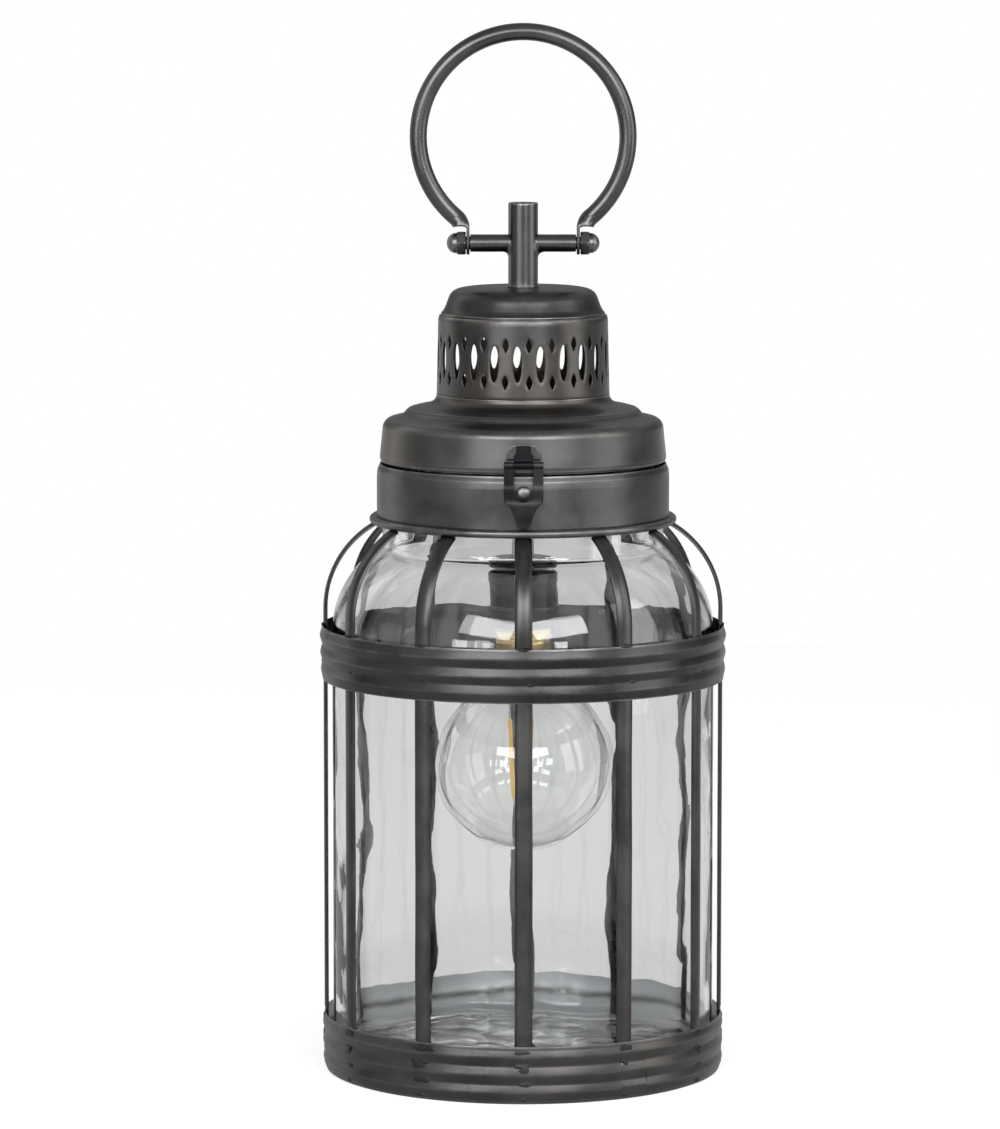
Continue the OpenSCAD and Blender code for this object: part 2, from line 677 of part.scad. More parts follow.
module chimney_cap() color("#4a4744") difference() {
    skirt_r = gallery_top_r - gallery_t - 0.25;
    top = cap_top_z;
    spun(sheet([
        [skirt_r, gallery_top_z - 4], [skirt_r, gallery_top_z + 0.7], [36.5, top - 10.6], [35.4, top - 9.2],
        [34.4, top - 6.9], [33.5, top - 4.4], [32.2, top - 2.4], [30, top - 1], [26.6, top - 0.25],
        [22, top], [0, top]], gallery_t));
    translate([0, 0, top - 6]) cylinder(h = 10, r = stud_r + fit_gap);
}

// Post with a threaded stud below, and a cross hole for the bar
module handle_post() color("#5a5652") difference() {
    r = post_d / 2;
    union() {
        spun([[0, cap_top_z + 0.05], [r, cap_top_z + 0.05], [r, post_top_z - 0.9],
            [r - 0.3, post_top_z - 0.3], [r - 0.9, post_top_z], [0, post_top_z]]);
        translate([0, 0, stud_z]) cylinder(h = cap_top_z - stud_z + 1, r = stud_r);
    }
    rod_x(bar_d / 2 + fit_gap, post_d + 2, 0, 0, bar_z);
}

module post_nut() color("#5a5652")
    hex_nut(cap_top_z - gallery_t - 4.6, 4.5, 13, stud_r + fit_gap);

module crossbar() color("#4b4845") {
    rod_x(bar_d / 2, 2 * bar_end_x, 0, 0, bar_z);
    rod_x(bar_stud_r, 2 * bar_stud_x, 0, 0, bar_z);
}

// Hexagon nuts with a domed end, one on each stud of the bar
module cap_nuts() color("#5c5854") for (s = [0, 180]) rotate([0, 0, s])
    translate([nut_in_x, 0, bar_z]) rotate([0, 90, 0]) difference() {
        union() {
            cylinder(h = nut_h, r = nut_af / 2 / cos(30), $fn = 6);
            translate([0, 0, nut_h - eps]) rotate_extrude()
                polygon(concat([[0, 0], [4.6, 0], [4.6, 1]],
                    arc(0.6, 1, 4, 18, 72, 4), [[0, nut_dome_h + 0.3]]));
        }
        translate([0, 0, -1]) cylinder(h = bar_stud_x - nut_in_x + 1.5, r = bar_stud_r + fit_gap);
    }

module hinge_leaf_lid() color("#45423f") difference() {
    r = lid_r + seat_gap;
    union() {
        leaf_plate(r, seam_z + 3.4, 11, lid_rivet_z);
        knuckle(0, 2 * knuckle_split);
        translate([-knuckle_split, r - 0.2 + 0.4, seam_z + 1]) cube([2 * knuckle_split, 5.2, 3.4]);
    }
    rod_x(hinge_pin_r + run_gap, 2 * hinge_half_w + 2, 0, hinge_y, seam_z);
}

module lid_rivets() color("#5a5753") for (x = [-leaf_rivet_x, leaf_rivet_x])
    rivet(x, sqrt(pow(lid_r + seat_gap + leaf_t, 2) - x * x), lid_rivet_z, 2.9);

module hinge_pin() color("#6a6764") {
    rod_x(hinge_pin_r, 2 * hinge_half_w + 1.2, 0, hinge_y, seam_z);
    for (s = [-1, 1]) rod_x(2, 1, s * (hinge_half_w + 0.8), hinge_y, seam_z);
}

// ---------------------------------------------------------------- latch

// Strap on the lid's front, whose lower end curls round the hasp's bar
module latch_keeper() color("#3e3c3b") {
    base_half = 7.2;
    wall_y = -lid_r + 0.2;
    // Base plate, with round shoulders, bent to the lid's rim
    intersection() {
        spun([[lid_r - 0.2, 283.6], [lid_r - 1.1, 291], [lid_r - 0.3, 291], [lid_r + 0.6, 283.6]]);
        translate([0, 0, 284]) rotate([90, 0, 0]) linear_extrude(80) union() {
            translate([-base_half, -0.4]) square([2 * base_half, 3.9]);
            translate([-base_half + 3, 3.5]) circle(3);
            translate([base_half - 3, 3.5]) circle(3);
            translate([-base_half + 3, 0]) square([2 * base_half - 6, 6.5]);
        }
    }
    // Strap, wider towards the curl
    difference() {
        union() {
            intersection() {
                translate([0, wall_y - 0.4, 0]) rotate([90, 0, 0]) linear_extrude(5)
                    polygon([[-keeper_w / 2, hasp_z], [keeper_w / 2, hasp_z], [keeper_w / 2, 284.2],
                        [2.95, 288], [2.95, 290.4], [-2.95, 290.4], [-2.95, 288],
                        [-keeper_w / 2, 284.2]]);
                translate([-10, 0, 0]) rotate([90, 0, 90]) linear_extrude(20)
                    polygon([[hasp_y - keeper_r, hasp_z], [hasp_y - keeper_r + 0.1, hasp_z + 0.8],
                        [-66.6, 285.4], [-66.2, 290.6], [wall_y - 0.4, 290.6],
                        [wall_y - 0.4, hasp_z + 1.6], [hasp_y + keeper_r, hasp_z]]);
            }
            rod_x(keeper_r, keeper_w, 0, hasp_y, hasp_z);
        }
        rod_x(hasp_bar_r + run_gap, keeper_w + 2, 0, hasp_y, hasp_z);
    }
}

// Plate with a window that drops over the knob, and a tongue that bulges out below it
module latch_hasp() color("#3b3a3a") {
    half = hasp_w / 2;
    top = hasp_z + hasp_bar_r + 0.3;
    window_r = hasp_window_w / 2;
    window_z = knob_z - 3.6 + window_r;
    intersection() {
        translate([0, -10, 0]) rotate([90, 0, 0]) linear_extrude(80) difference() {
            polygon([[-half, top], [-half, 268.4], [-half + 0.9, 265.8], [-5.6, 262.6], [-4, 259],
                [-3.2, 255.6], [-2.2, hasp_tip_z + 0.6], [-0.9, hasp_tip_z], [0.9, hasp_tip_z],
                [2.2, hasp_tip_z + 0.6], [3.2, 255.6], [4, 259], [5.6, 262.6], [half - 0.9, 265.8],
                [half, 268.4], [half, top]]);
            translate([0, window_z]) circle(window_r);
            translate([-window_r, window_z]) square([hasp_window_w, top - window_z + 1]);
        }
        translate([-half, 0, 0]) rotate([90, 0, 90]) linear_extrude(hasp_w)
            polygon(sheet([[hasp_y - hasp_t / 2, top + 1], [hasp_y - hasp_t / 2, 272.5],
                [-69, 270.6], [-71, 267.6], [-72, 265.6], [-72.1, 263.4], [-71.6, 260],
                [-70.4, 256.4], [-69.9, hasp_tip_z - 1]], hasp_t));
    }
    rod_x(hasp_bar_r, hasp_w - 1, 0, hasp_y, hasp_z);
}

// ---------------------------------------------------------------- handle

// A slice of the handle's arm, a degrees round the bend that its inner edge follows
module arm_slice(a, thick, wide, inset) translate([tab_in_x + arm_bend_r, 0, 0])
    rotate([0, a, 0]) translate([thick / 2 + inset - arm_bend_r, 0, 0]) scale([thick, wide, 1])
        cylinder(h = 0.05, r = 0.5, center = true, $fn = hull_fn);

// Ring of round rod. Its ends bend down, flatten and turn on the crossbar's studs.
module ring_handle() color("#4d4a48") {
    start_z = ring_z - (ring_in_r + arm_bend_r) * sin(ring_end_angle);
    end = ring_end_angle + 1.2; // the rod runs a little past the arms' upper ends
    translate([0, 0, ring_z]) rotate([90, 0, 0]) rotate([0, 0, -end])
        rotate_extrude(angle = 180 + 2 * end) translate([ring_r, 0]) circle(d = rod_d);
    for (s = [0, 180]) rotate([0, 0, s]) {
        translate([0, 0, start_z]) for (k = [0:2]) {
            step = ring_end_angle / 3;
            thick = [tab_t, 2.4, 5, rod_d - 0.6];
            wide = [2 * tab_r, 9.8, 8.6, rod_d - 0.5];
            inset = [0, 0, 0, 0.25]; // the uppermost slice lies just inside the rod
            hull() {
                arm_slice(k * step, thick[k], wide[k], inset[k]);
                arm_slice((k + 1) * step, thick[k + 1], wide[k + 1], inset[k + 1]);
            }
        }
        difference() {
            union() {
                translate([tab_in_x, -tab_r, bar_z]) cube([tab_t, 2 * tab_r, start_z - bar_z]);
                rod_x(tab_r, tab_t, tab_in_x + tab_t / 2, 0, bar_z);
            }
            rod_x(bar_stud_r + run_gap, 10, tab_in_x, 0, bar_z);
        }
    }
}

// ---------------------------------------------------------------- which piece is drawn

base_plate();
jar_cushion();
base_band();
middle_band();
rib(1);  // rib_01
rib(2);  // rib_02
rib(3);  // rib_03
rib(4);  // rib_04
rib(5);  // rib_05
rib(6);  // rib_06
rib(7);  // rib_07
rib(8);  // rib_08
rib(9);  // rib_09
rib(10);  // rib_10
rib(11);  // rib_11
rib(12);  // rib_12
jar_floor();
jar_wall();
jar_shoulder();
neck_gasket();
collar_flange();
collar();
hinge_leaf_collar();
collar_rivets();
latch_knob();
bridge_brackets();
lamp_bridge();
bridge_screws();
battery_tray();
batteries();
battery_contacts();
switch_housing();
switch_slider();
nipple();
nipple_nuts();
lamp_wires();
socket_canopy();
socket_cover();
socket_insulator();
socket_shell();
socket_contact();
bulb_cap();
bulb_contact();
bulb_glass();
bulb_stem();
bulb_filament();
bulb_leads();
lid_shell();
vent_gallery();
chimney_cap();
handle_post();
post_nut();
crossbar();
cap_nuts();
hinge_leaf_lid();
lid_rivets();
hinge_pin();
latch_keeper();
latch_hasp();
ring_handle();
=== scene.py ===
"""Looks of a lantern table lamp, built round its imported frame.

Sizes are millimetres in the row frame: +Z up, the lamp's axis on x = y = 0, its front towards -Y.
MM turns them into metres where a mesh is made.
"""

import random
from math import acos, asin, ceil, copysign, cos, degrees, exp, hypot, pi, radians, sin, sqrt, tan

import bmesh
import bpy
from mathutils import Matrix, Vector, noise
from mathutils.geometry import delaunay_2d_cdt


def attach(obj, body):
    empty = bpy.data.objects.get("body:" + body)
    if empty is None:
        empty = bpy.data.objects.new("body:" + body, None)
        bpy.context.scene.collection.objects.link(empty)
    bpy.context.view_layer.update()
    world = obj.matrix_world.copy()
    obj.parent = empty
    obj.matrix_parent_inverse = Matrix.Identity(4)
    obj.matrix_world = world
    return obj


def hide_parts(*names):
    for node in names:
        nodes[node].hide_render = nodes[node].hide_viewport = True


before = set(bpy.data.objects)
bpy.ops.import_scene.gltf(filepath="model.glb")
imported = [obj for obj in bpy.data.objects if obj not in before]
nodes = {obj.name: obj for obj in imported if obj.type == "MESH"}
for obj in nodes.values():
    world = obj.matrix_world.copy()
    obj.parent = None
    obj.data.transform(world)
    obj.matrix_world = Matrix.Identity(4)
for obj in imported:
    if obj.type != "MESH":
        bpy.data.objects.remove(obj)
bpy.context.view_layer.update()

MM = 0.001
TAU = 2 * pi
TURNS = 216  # steps round a spun piece
EDGE_ANGLE = 40  # degrees from which an edge counts as sharp

# Cage
CAGE_R = 90.5
RIB_COUNT = 12
RIB_W = 7.8
RIB_T = 1.9
RIB_IN_R = CAGE_R - RIB_T
RIB_FOOT_Z = 2.4
RIB_END_Z = 249.3
BASE_BAND_H = 26
MID_BAND_Z = 179
MID_BAND_H = 24
SHOULDER_Z = 210
SHOULDER_R = 45.9
BEND_R = CAGE_R - SHOULDER_R  # distance of the bend's centre from the lamp's axis

# Jar
JAR_R = RIB_IN_R - 2.1
JAR_T = 3
JAR_BEND_R = 45
JAR_BEND_Z = 199.5
JAR_NECK_BEND_R = 3
JAR_BOTTOM_Z = 3.2
JAR_FLOOR_Z = 10
NECK_R = 63.5
NECK_TOP_Z = 255.5

# Collar, lid and chimney
COLLAR_R = 66.1
COLLAR_Z = 253.2
SHEET_T = 0.8
SEAM_Z = 276.8
LID_R = 64.7
FLANGE_R = 69.5
FLANGE_H = 3.7
GALLERY_R = 39
GALLERY_TOP_R = 38.2
GALLERY_T = 0.9
GALLERY_TOP_Z = 343.5
SLOT_COUNT = 23
SLOT_Z = 324.2
SLOT_W = 4
SLOT_H = 16.2
CAP_TOP_Z = 356

# Handle
RING_D = 102
ROD_D = 7.8
RING_Z = 423.4
BAR_Z = 375.7
BAR_R = 4
POST_R = 6.75
POST_TOP_Z = 394
TAB_IN_X = 24.1
TAB_T = 1.4
TAB_R = 5.2
NUT_X = TAB_IN_X + TAB_T + 0.3

# Latch
HASP_W = 17.5
HASP_Y = -67.6
HASP_Z = 281.9
HASP_T = 1.2
KEEPER_W = 8.6
KNOB_Z = 269.4

# Lamp
BULB_R = 40
BULB_Z = 139.7
CAP_Z = 191
SOCKET_Z = 202.5
SOCKET_R = 15.4
COVER_TOP_Z = 229.2
CANOPY_Z = 230.4


# ---- outlines


def frange(start, end, step):
    """Even steps from start up to just before end."""
    count = round((end - start) / step)
    return [start + (end - start) * k / count for k in range(count)]


def polar(r, a):
    return r * cos(a), r * sin(a)


def arc(x, y, r, start, end, count):
    """Points on an arc, from one angle in degrees to another."""
    angles = [radians(start + (end - start) * i / count) for i in range(count + 1)]
    return [(x + r * cos(a), y + r * sin(a)) for a in angles]


def squarish(power, count):
    """Points round the unit circle, pressed towards a square where the power is under 1."""
    return [(copysign(abs(cos(a)) ** power, cos(a)), copysign(abs(sin(a)) ** power, sin(a)))
            for a in (TAU * k / count for k in range(count))]


def rounded(points, closed=True, step=12):
    """A line through points (x, y) or (x, y, radius), with those corners rounded."""
    line = []
    for i, point in enumerate(points):
        here = Vector(point[:2])
        radius = point[2] if len(point) > 2 else 0
        if radius == 0 or (not closed and i in (0, len(points) - 1)):
            line.append(tuple(here))
            continue
        before = Vector(points[i - 1][:2]) - here
        after = Vector(points[(i + 1) % len(points)][:2]) - here
        turn = pi - before.angle(after)
        cut = radius * tan(turn / 2)
        room = 0.49 * min(before.length, after.length)
        if cut > room:
            radius, cut = radius * room / cut, room
        before.normalize()
        after.normalize()
        centre = here + (before + after).normalized() * hypot(radius, cut)
        start = here + before * cut - centre
        end = here + after * cut - centre
        count = max(2, ceil(degrees(turn) / step))
        for k in range(count + 1):
            a, b = sin(turn * (1 - k / count)), sin(turn * k / count)
            line.append(tuple(centre + (start * a + end * b) / sin(turn)))
    return line


def bent(points, step=12):
    """An open line through the points, with those corners rounded."""
    return rounded(points, False, step)


def stepped(line, r, low, high, step):
    """The line with more points along its straight side at radius r, so that it can be dented there."""
    straight = [(r, z) for z in frange(low, high, step)]
    return [p for p in line if p[1] <= low] + straight + [p for p in line if p[1] >= high]


def offset(line, t):
    """An open line of points moved by t to its left."""
    moved = []
    for i, here in enumerate(line):
        before = Vector(here) - Vector(line[max(i - 1, 0)])
        after = Vector(line[min(i + 1, len(line) - 1)]) - Vector(here)
        sides = [Vector((-d.y, d.x)).normalized() for d in (before, after) if d.length > 0]
        middle = sum(sides, Vector((0, 0))).normalized()
        moved.append(tuple(Vector(here) + middle * t / max(0.5, middle.dot(sides[0]))))
    return moved


def sheet(line, t):
    """Outline of a sheet of thickness t to the left of an open line, with rounded edges."""
    inner = offset(line, t)
    lips = []
    for end, across, back in ((line[-1], inner[-1], line[-2]), (line[0], inner[0], line[1])):
        middle = (Vector(end) + Vector(across)) / 2
        lips.append(tuple(middle + (Vector(end) - Vector(back)).normalized() * t * 0.35))
    return line + [lips[0]] + inner[::-1] + [lips[1]]


def bead(groove, crest, low, high, count=12):
    """Outline of a bead with a marked crest, from one groove up to the next, without its last point."""
    line = []
    for k in range(count):
        u = 2 * k / count - 1
        line.append((groove + (crest - groove) * (1 - abs(u) ** 1.3), low + (high - low) * k / count))
    return line


def smooth_line(points, count):
    """A smooth curve through the points, with count steps between neighbours."""
    ends = [2 * Vector(points[0]) - Vector(points[1])] + [Vector(p) for p in points]
    ends.append(2 * Vector(points[-1]) - Vector(points[-2]))
    line = []
    for i in range(1, len(ends) - 2):
        p0, p1, p2, p3 = ends[i - 1 : i + 3]
        for k in range(count):
            t = k / count
            line.append(tuple(0.5 * (2 * p1 + (p2 - p0) * t + (2 * p0 - 5 * p1 + 4 * p2 - p3) * t * t
                                     + (3 * p1 - p0 - 3 * p2 + p3) * t ** 3)))
    return line + [tuple(points[-1])]


def between(table, x):
    """The value at x in a table of (x, value) rows, in straight lines between them."""
    for (x0, y0), (x1, y1) in zip(table, table[1:]):
        if x <= x1:
            return y0 + (y1 - y0) * max(0, x - x0) / (x1 - x0)
    return table[-1][1]


def ease(t):
    t = min(1, max(0, t))
    return t * t * (3 - 2 * t)


def ripple(x, y, z, size):
    """Smooth noise from -1 to 1, whose lumps are about size across."""
    return noise.noise(Vector((x, y, z)) / size)


# ---- shapes
# A shape is (points, faces, wear and painted light): that value tells the metal where it is rubbed bright or
# painted with a highlight, and where it is painted with shade, if below 0.


def outline_wear(line):
    """How sharp and outward a closed outline's corner is at each point, from 0 to 1."""
    area = sum(a[0] * b[1] - b[0] * a[1] for a, b in zip(line, line[1:] + line[:1]))
    wear_and_painted_light = []
    for i, here in enumerate(line):
        before = Vector(here) - Vector(line[i - 1])
        after = Vector(line[(i + 1) % len(line)]) - Vector(here)
        if before.length < 1e-6 or after.length < 1e-6:
            wear_and_painted_light.append(wear_and_painted_light[-1] if wear_and_painted_light else 0)
            continue
        turn = before.angle_signed(after) * (-1 if area > 0 else 1)
        wear_and_painted_light.append(min(1, max(0, turn / (before.length + after.length) * 1.6)))
    return wear_and_painted_light


def lathe(line, turns=TURNS, shift=None):
    """A closed outline of (radius, height), spun round Z. shift(radius, height, angle) moves points."""
    size = len(line)
    points = []
    for k in range(turns):
        a = TAU * k / turns
        for r, z in line:
            if shift and r > 0:
                r, z = shift(r, z, a)
            points.append((*polar(r, a), z))
    faces = [(k * size + i, (k + 1) % turns * size + i,
              (k + 1) % turns * size + (i + 1) % size, k * size + (i + 1) % size)
             for k in range(turns) for i in range(size)]
    return points, faces, outline_wear(line) * turns


def loft(rings, wear_and_painted_light=0.0):
    """Rings of as many points each, joined one to the next, with closed ends."""
    size = len(rings[0])
    points = [tuple(p) for ring in rings for p in ring]
    faces = [(k * size + i, k * size + (i + 1) % size, (k + 1) * size + (i + 1) % size, (k + 1) * size + i)
             for k in range(len(rings) - 1) for i in range(size)]
    for k in (0, len(rings) - 1):
        centre = sum((Vector(p) for p in rings[k]), Vector((0, 0, 0))) / size
        faces += [(len(points), k * size + i, k * size + (i + 1) % size) for i in range(size)]
        points.append(tuple(centre))
    return points, faces, [wear_and_painted_light] * len(points)


def joined(shapes):
    points, faces, wear_and_painted_light = [], [], []
    for p, f, w in shapes:
        faces += [tuple(len(points) + i for i in face) for face in f]
        points += p
        wear_and_painted_light += w
    return points, faces, wear_and_painted_light


def moved(shape, matrix):
    """The shape after a 4x4 matrix in millimetres."""
    return [tuple(matrix @ Vector(p)) for p in shape[0]], shape[1], shape[2]


def along_x(x, y, z, way=1):
    """Lays a shape's own Z axis along +X or -X, from the point (x, y, z)."""
    return Matrix.Translation((x, y, z)) @ Matrix.Rotation(way * pi / 2, 4, "Y")


def blob(size, seed, squash):
    """A lump of solder."""
    bm = bmesh.new()
    bmesh.ops.create_icosphere(bm, subdivisions=3, radius=1)
    points = []
    for v in bm.verts:
        p = v.co * (1 + 0.35 * noise.noise(v.co * 1.4 + Vector((seed, 2 * seed, 0))))
        points.append(tuple(c * size * k for c, k in zip(p, squash)))
    faces = [tuple(v.index for v in f.verts) for f in bm.faces]
    bm.free()
    return points, faces, [0.15] * len(points)


def inside(x, y, loop):
    odd = False
    for (x0, y0), (x1, y1) in zip(loop, loop[1:] + loop[:1]):
        if (y0 > y) != (y1 > y) and x < x0 + (x1 - x0) * (y - y0) / (y1 - y0):
            odd = not odd
    return odd


def cut_sheet(outline, holes, spacing):
    """Points and triangles of a flat sheet that is cut to an outline and pierced by holes."""
    points, edges = [], []
    for loop in [outline] + holes:
        first = len(points)
        points += loop
        edges += [(first + i, first + (i + 1) % len(loop)) for i in range(len(loop))]
    border = [Vector(p) for p in points]

    def solid(x, y):
        return inside(x, y, outline) and not any(inside(x, y, h) for h in holes)

    lows = [min(p[i] for p in outline) for i in (0, 1)]
    spans = [max(p[i] for p in outline) - lows[i] for i in (0, 1)]
    columns, rows = [max(1, round(span / spacing)) for span in spans]
    for i in range(1, columns):
        for j in range(1, rows):
            x = lows[0] + spans[0] * (i + (j % 2) / 2 - 0.25) / columns
            y = lows[1] + spans[1] * j / rows
            if min((Vector((x, y)) - p).length for p in border) > 0.6 * spacing and solid(x, y):
                points.append((x, y))
    made = delaunay_2d_cdt([Vector(p) for p in points], edges, [], 0, 1e-6)
    flat = [tuple(p) for p in made[0]]
    return flat, [tuple(face) for face in made[2]
                  if solid(*(sum(flat[i][n] for i in face) / len(face) for n in (0, 1)))]


def add_object(name, data):
    made = bpy.data.objects.new(name, data)
    bpy.context.scene.collection.objects.link(made)
    return made


def add_piece(name, shape, material, body, slot, stands_for=(), sharp=EDGE_ANGLE, thick=0, rim=0):
    """A mesh object of the shape, riding on its body. A sheet gets its thickness and rounded rims."""
    points, faces, wear_and_painted_light = shape
    mesh = bpy.data.meshes.new(name)
    mesh.from_pydata([(x * MM, y * MM, z * MM) for x, y, z in points], [], faces)
    rubbed_and_painted_light = mesh.attributes.new("wear_and_painted_light", "FLOAT", "POINT")
    rubbed_and_painted_light.data.foreach_set("value", wear_and_painted_light)
    bm = bmesh.new()
    bm.from_mesh(mesh)
    bmesh.ops.remove_doubles(bm, verts=bm.verts, dist=1e-6)
    bmesh.ops.delete(bm, geom=[e for e in bm.edges if not e.link_faces], context="EDGES")
    bmesh.ops.recalc_face_normals(bm, faces=bm.faces)
    bm.to_mesh(mesh)
    bm.free()
    mesh.shade_smooth()
    mesh.set_sharp_from_angle(angle=radians(sharp))
    mesh.materials.append(material)
    piece = add_object(name, mesh)
    if thick:
        solid = piece.modifiers.new("thickness", "SOLIDIFY")
        solid.thickness = thick * MM
        solid.offset = -1
        solid.use_even_offset = True
    if rim:
        round_edges(piece, rim)
    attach(piece, body)
    if stands_for:
        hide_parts(*stands_for)


def round_edges(piece, width):
    bevel = piece.modifiers.new("rounding", "BEVEL")
    bevel.width = width * MM
    bevel.segments = 2
    bevel.limit_method = "ANGLE"
    bevel.angle_limit = radians(EDGE_ANGLE)


# ---- materials


class Tree:
    """Short calls for the shader nodes of a material or of the world."""

    def __init__(self, owner):
        owner.use_nodes = True
        self.tree = owner.node_tree

    def node(self, kind, **settings):
        made = self.tree.nodes.new("ShaderNode" + kind)
        for key, value in settings.items():
            setattr(made, key, value)
        return made

    def put(self, value, socket):
        """Sets a socket to a number or a colour, or links it to an output."""
        if isinstance(value, (int, float)):
            socket.default_value = value
        elif isinstance(value, tuple):
            socket.default_value = (*value, 1)
        else:
            self.tree.links.new(value, socket)

    def fill(self, node, **values):
        for key, value in values.items():
            self.put(value, node.inputs[key.replace("_", " ")])

    def ramp(self, value, low, high, out_low, out_high, kind="LINEAR"):
        made = self.node("MapRange", interpolation_type=kind)
        self.fill(made, Value=value, From_Min=low, From_Max=high, To_Min=out_low, To_Max=out_high)
        return made.outputs["Result"]

    def maths(self, kind, a, b):
        made = self.node("Math", operation=kind)
        self.put(a, made.inputs[0])
        self.put(b, made.inputs[1])
        return made.outputs[0]

    def times(self, a, b):
        return self.maths("MULTIPLY", a, b)

    def plus(self, a, b):
        return self.maths("ADD", a, b)

    def most(self, a, b):
        return self.maths("MAXIMUM", a, b)


class Nodes(Tree):
    """The nodes of one material."""

    def __init__(self, name):
        self.material = bpy.data.materials.new(name)
        super().__init__(self.material)
        self.shader = self.tree.nodes["Principled BSDF"]
        self.place = self.node("TexCoord").outputs["Object"]

    def set(self, **values):
        self.fill(self.shader, **values)

    def stretched(self, x, y, z):
        mapping = self.node("Mapping")
        mapping.inputs["Scale"].default_value = (x, y, z)
        self.fill(mapping, Vector=self.place)
        return mapping.outputs["Vector"]

    def noise(self, scale, detail=4, rough=0.55, where=None, distort=0.0):
        made = self.node("TexNoise")
        self.fill(made, Scale=scale, Detail=detail, Roughness=rough, Distortion=distort,
                  Vector=where or self.place)
        return made.outputs["Fac"]

    def mixed(self, share, a, b):
        """A colour between two, each a colour or a socket."""
        made = self.node("Mix", data_type="RGBA")
        self.fill(made, Factor=share)
        for key, value in (("A", a), ("B", b)):
            self.put(value, [s for s in made.inputs if s.name == key and s.type == "RGBA"][0])
        return [s for s in made.outputs if s.type == "RGBA"][0]

    def bump(self, height, depth):
        made = self.node("Bump")
        self.fill(made, Distance=depth * MM, Height=height)
        self.set(Normal=made.outputs["Normal"])


def patina(name, dark, light, worn_and_highlight, rough=(0.27, 0.42), grain=(900, 900, 900), warm=0.25, dents=0.005,
           inside_painted_light_or_shade=None):
    """Antique zinc: cloudy grey with a fine grain, brighter where it is rubbed and where a highlight is
    painted. Its side towards the lamp's axis may take another colour, painted light or painted shade for the
    light that falls inside the lantern, darkened further where shade is painted."""
    n = Nodes(name)
    clouds = n.noise(26, 5, 0.6, distort=0.4)
    colour = n.mixed(n.ramp(clouds, 0.36, 0.64, 0, 1), dark, light)
    brown = tuple(c * k for c, k in zip(light, (1.16, 1.0, 0.84)))
    colour = n.mixed(n.ramp(n.noise(11, 3), 0.5, 0.72, 0, warm), colour, brown)
    fine = n.noise(1.0, 4, 0.6, where=n.stretched(*grain))
    colour = n.mixed(n.ramp(fine, 0.35, 0.75, 0, 0.14), colour, tuple(c * 0.62 for c in dark))
    # Rubbed edges and painted highlights both come from this attribute, and painted shade from its values
    # below 0.
    rubbed_and_painted_light = n.node("Attribute", attribute_name="wear_and_painted_light").outputs["Fac"]
    patchy = n.times(rubbed_and_painted_light, n.ramp(n.noise(75, 4, 0.65), 0.36, 0.6, 0.25, 1))
    colour = n.mixed(patchy, colour, worn_and_highlight)
    metal = 1.0
    # The side facing the axis takes the inside colour, painted light or painted shade, and turns mostly
    # non-metal.
    if inside_painted_light_or_shade:
        inwards = n.node("VectorMath", operation="MULTIPLY")
        n.put(n.place, inwards.inputs[0])
        inwards.inputs[1].default_value = (-12, -12, 0)
        facing = n.node("VectorMath", operation="DOT_PRODUCT")
        n.put(inwards.outputs["Vector"], facing.inputs[0])
        n.put(n.node("TexCoord").outputs["Normal"], facing.inputs[1])
        share = n.ramp(facing.outputs["Value"], 0.5, 0.8, 0, 1)
        # Where the value is below 0 the inside colour is darkened: painted shade.
        inside_with_painted_shade = n.mixed(n.ramp(rubbed_and_painted_light, -1, 0, 1, 0), inside_painted_light_or_shade, tuple(c * 0.03 for c in inside_painted_light_or_shade))
        colour = n.mixed(share, colour, inside_with_painted_shade)
        metal = n.ramp(share, 0, 1, 1, 0.12)
    n.set(Base_Color=colour, Metallic=metal)
    n.set(Roughness=n.ramp(n.plus(clouds, n.times(fine, 0.12)), 0.42, 0.72, *rough))
    n.bump(n.plus(n.times(fine, 0.25), n.noise(210, 3, 0.5)), dents)
    return n.material


def clear_glass(name, colour, waves=0.0):
    """Clear glass. Its waves are in the mesh, and the finest of them here."""
    n = Nodes(name)
    tint = n.ramp(n.noise(9, 2), 0.35, 0.65, 0, 1)
    n.set(Base_Color=n.mixed(tint, colour, tuple(c * 0.985 for c in colour)), Roughness=0.0, IOR=1.5,
          Transmission_Weight=1.0)
    if waves:
        n.bump(n.noise(90, 2, 0.4), waves)
    return n.material


def plain(name, a, b, rough, scale=300, metallic=0.0, bump=0.02, spec=0.5):
    """A finish of two near colours in fine grain, for moulded, rubber and plated parts."""
    n = Nodes(name)
    grain = n.noise(scale, 4, 0.6)
    n.set(Base_Color=n.mixed(n.ramp(grain, 0.35, 0.65, 0, 1), a, b), Metallic=metallic)
    n.set(Roughness=n.ramp(grain, 0.3, 0.7, rough * 0.85, min(1, rough * 1.15)), Specular_IOR_Level=spec)
    n.bump(grain, bump)
    return n.material


def glowing(name, colour, light):
    """The phosphor strip of a filament lamp."""
    n = Nodes(name)
    tone = n.mixed(n.ramp(n.noise(900, 2), 0.35, 0.65, 0, 1), colour, tuple(c * 0.9 for c in colour))
    n.set(Base_Color=tone, Roughness=0.45, Emission_Color=tone, Emission_Strength=light)
    return n.material


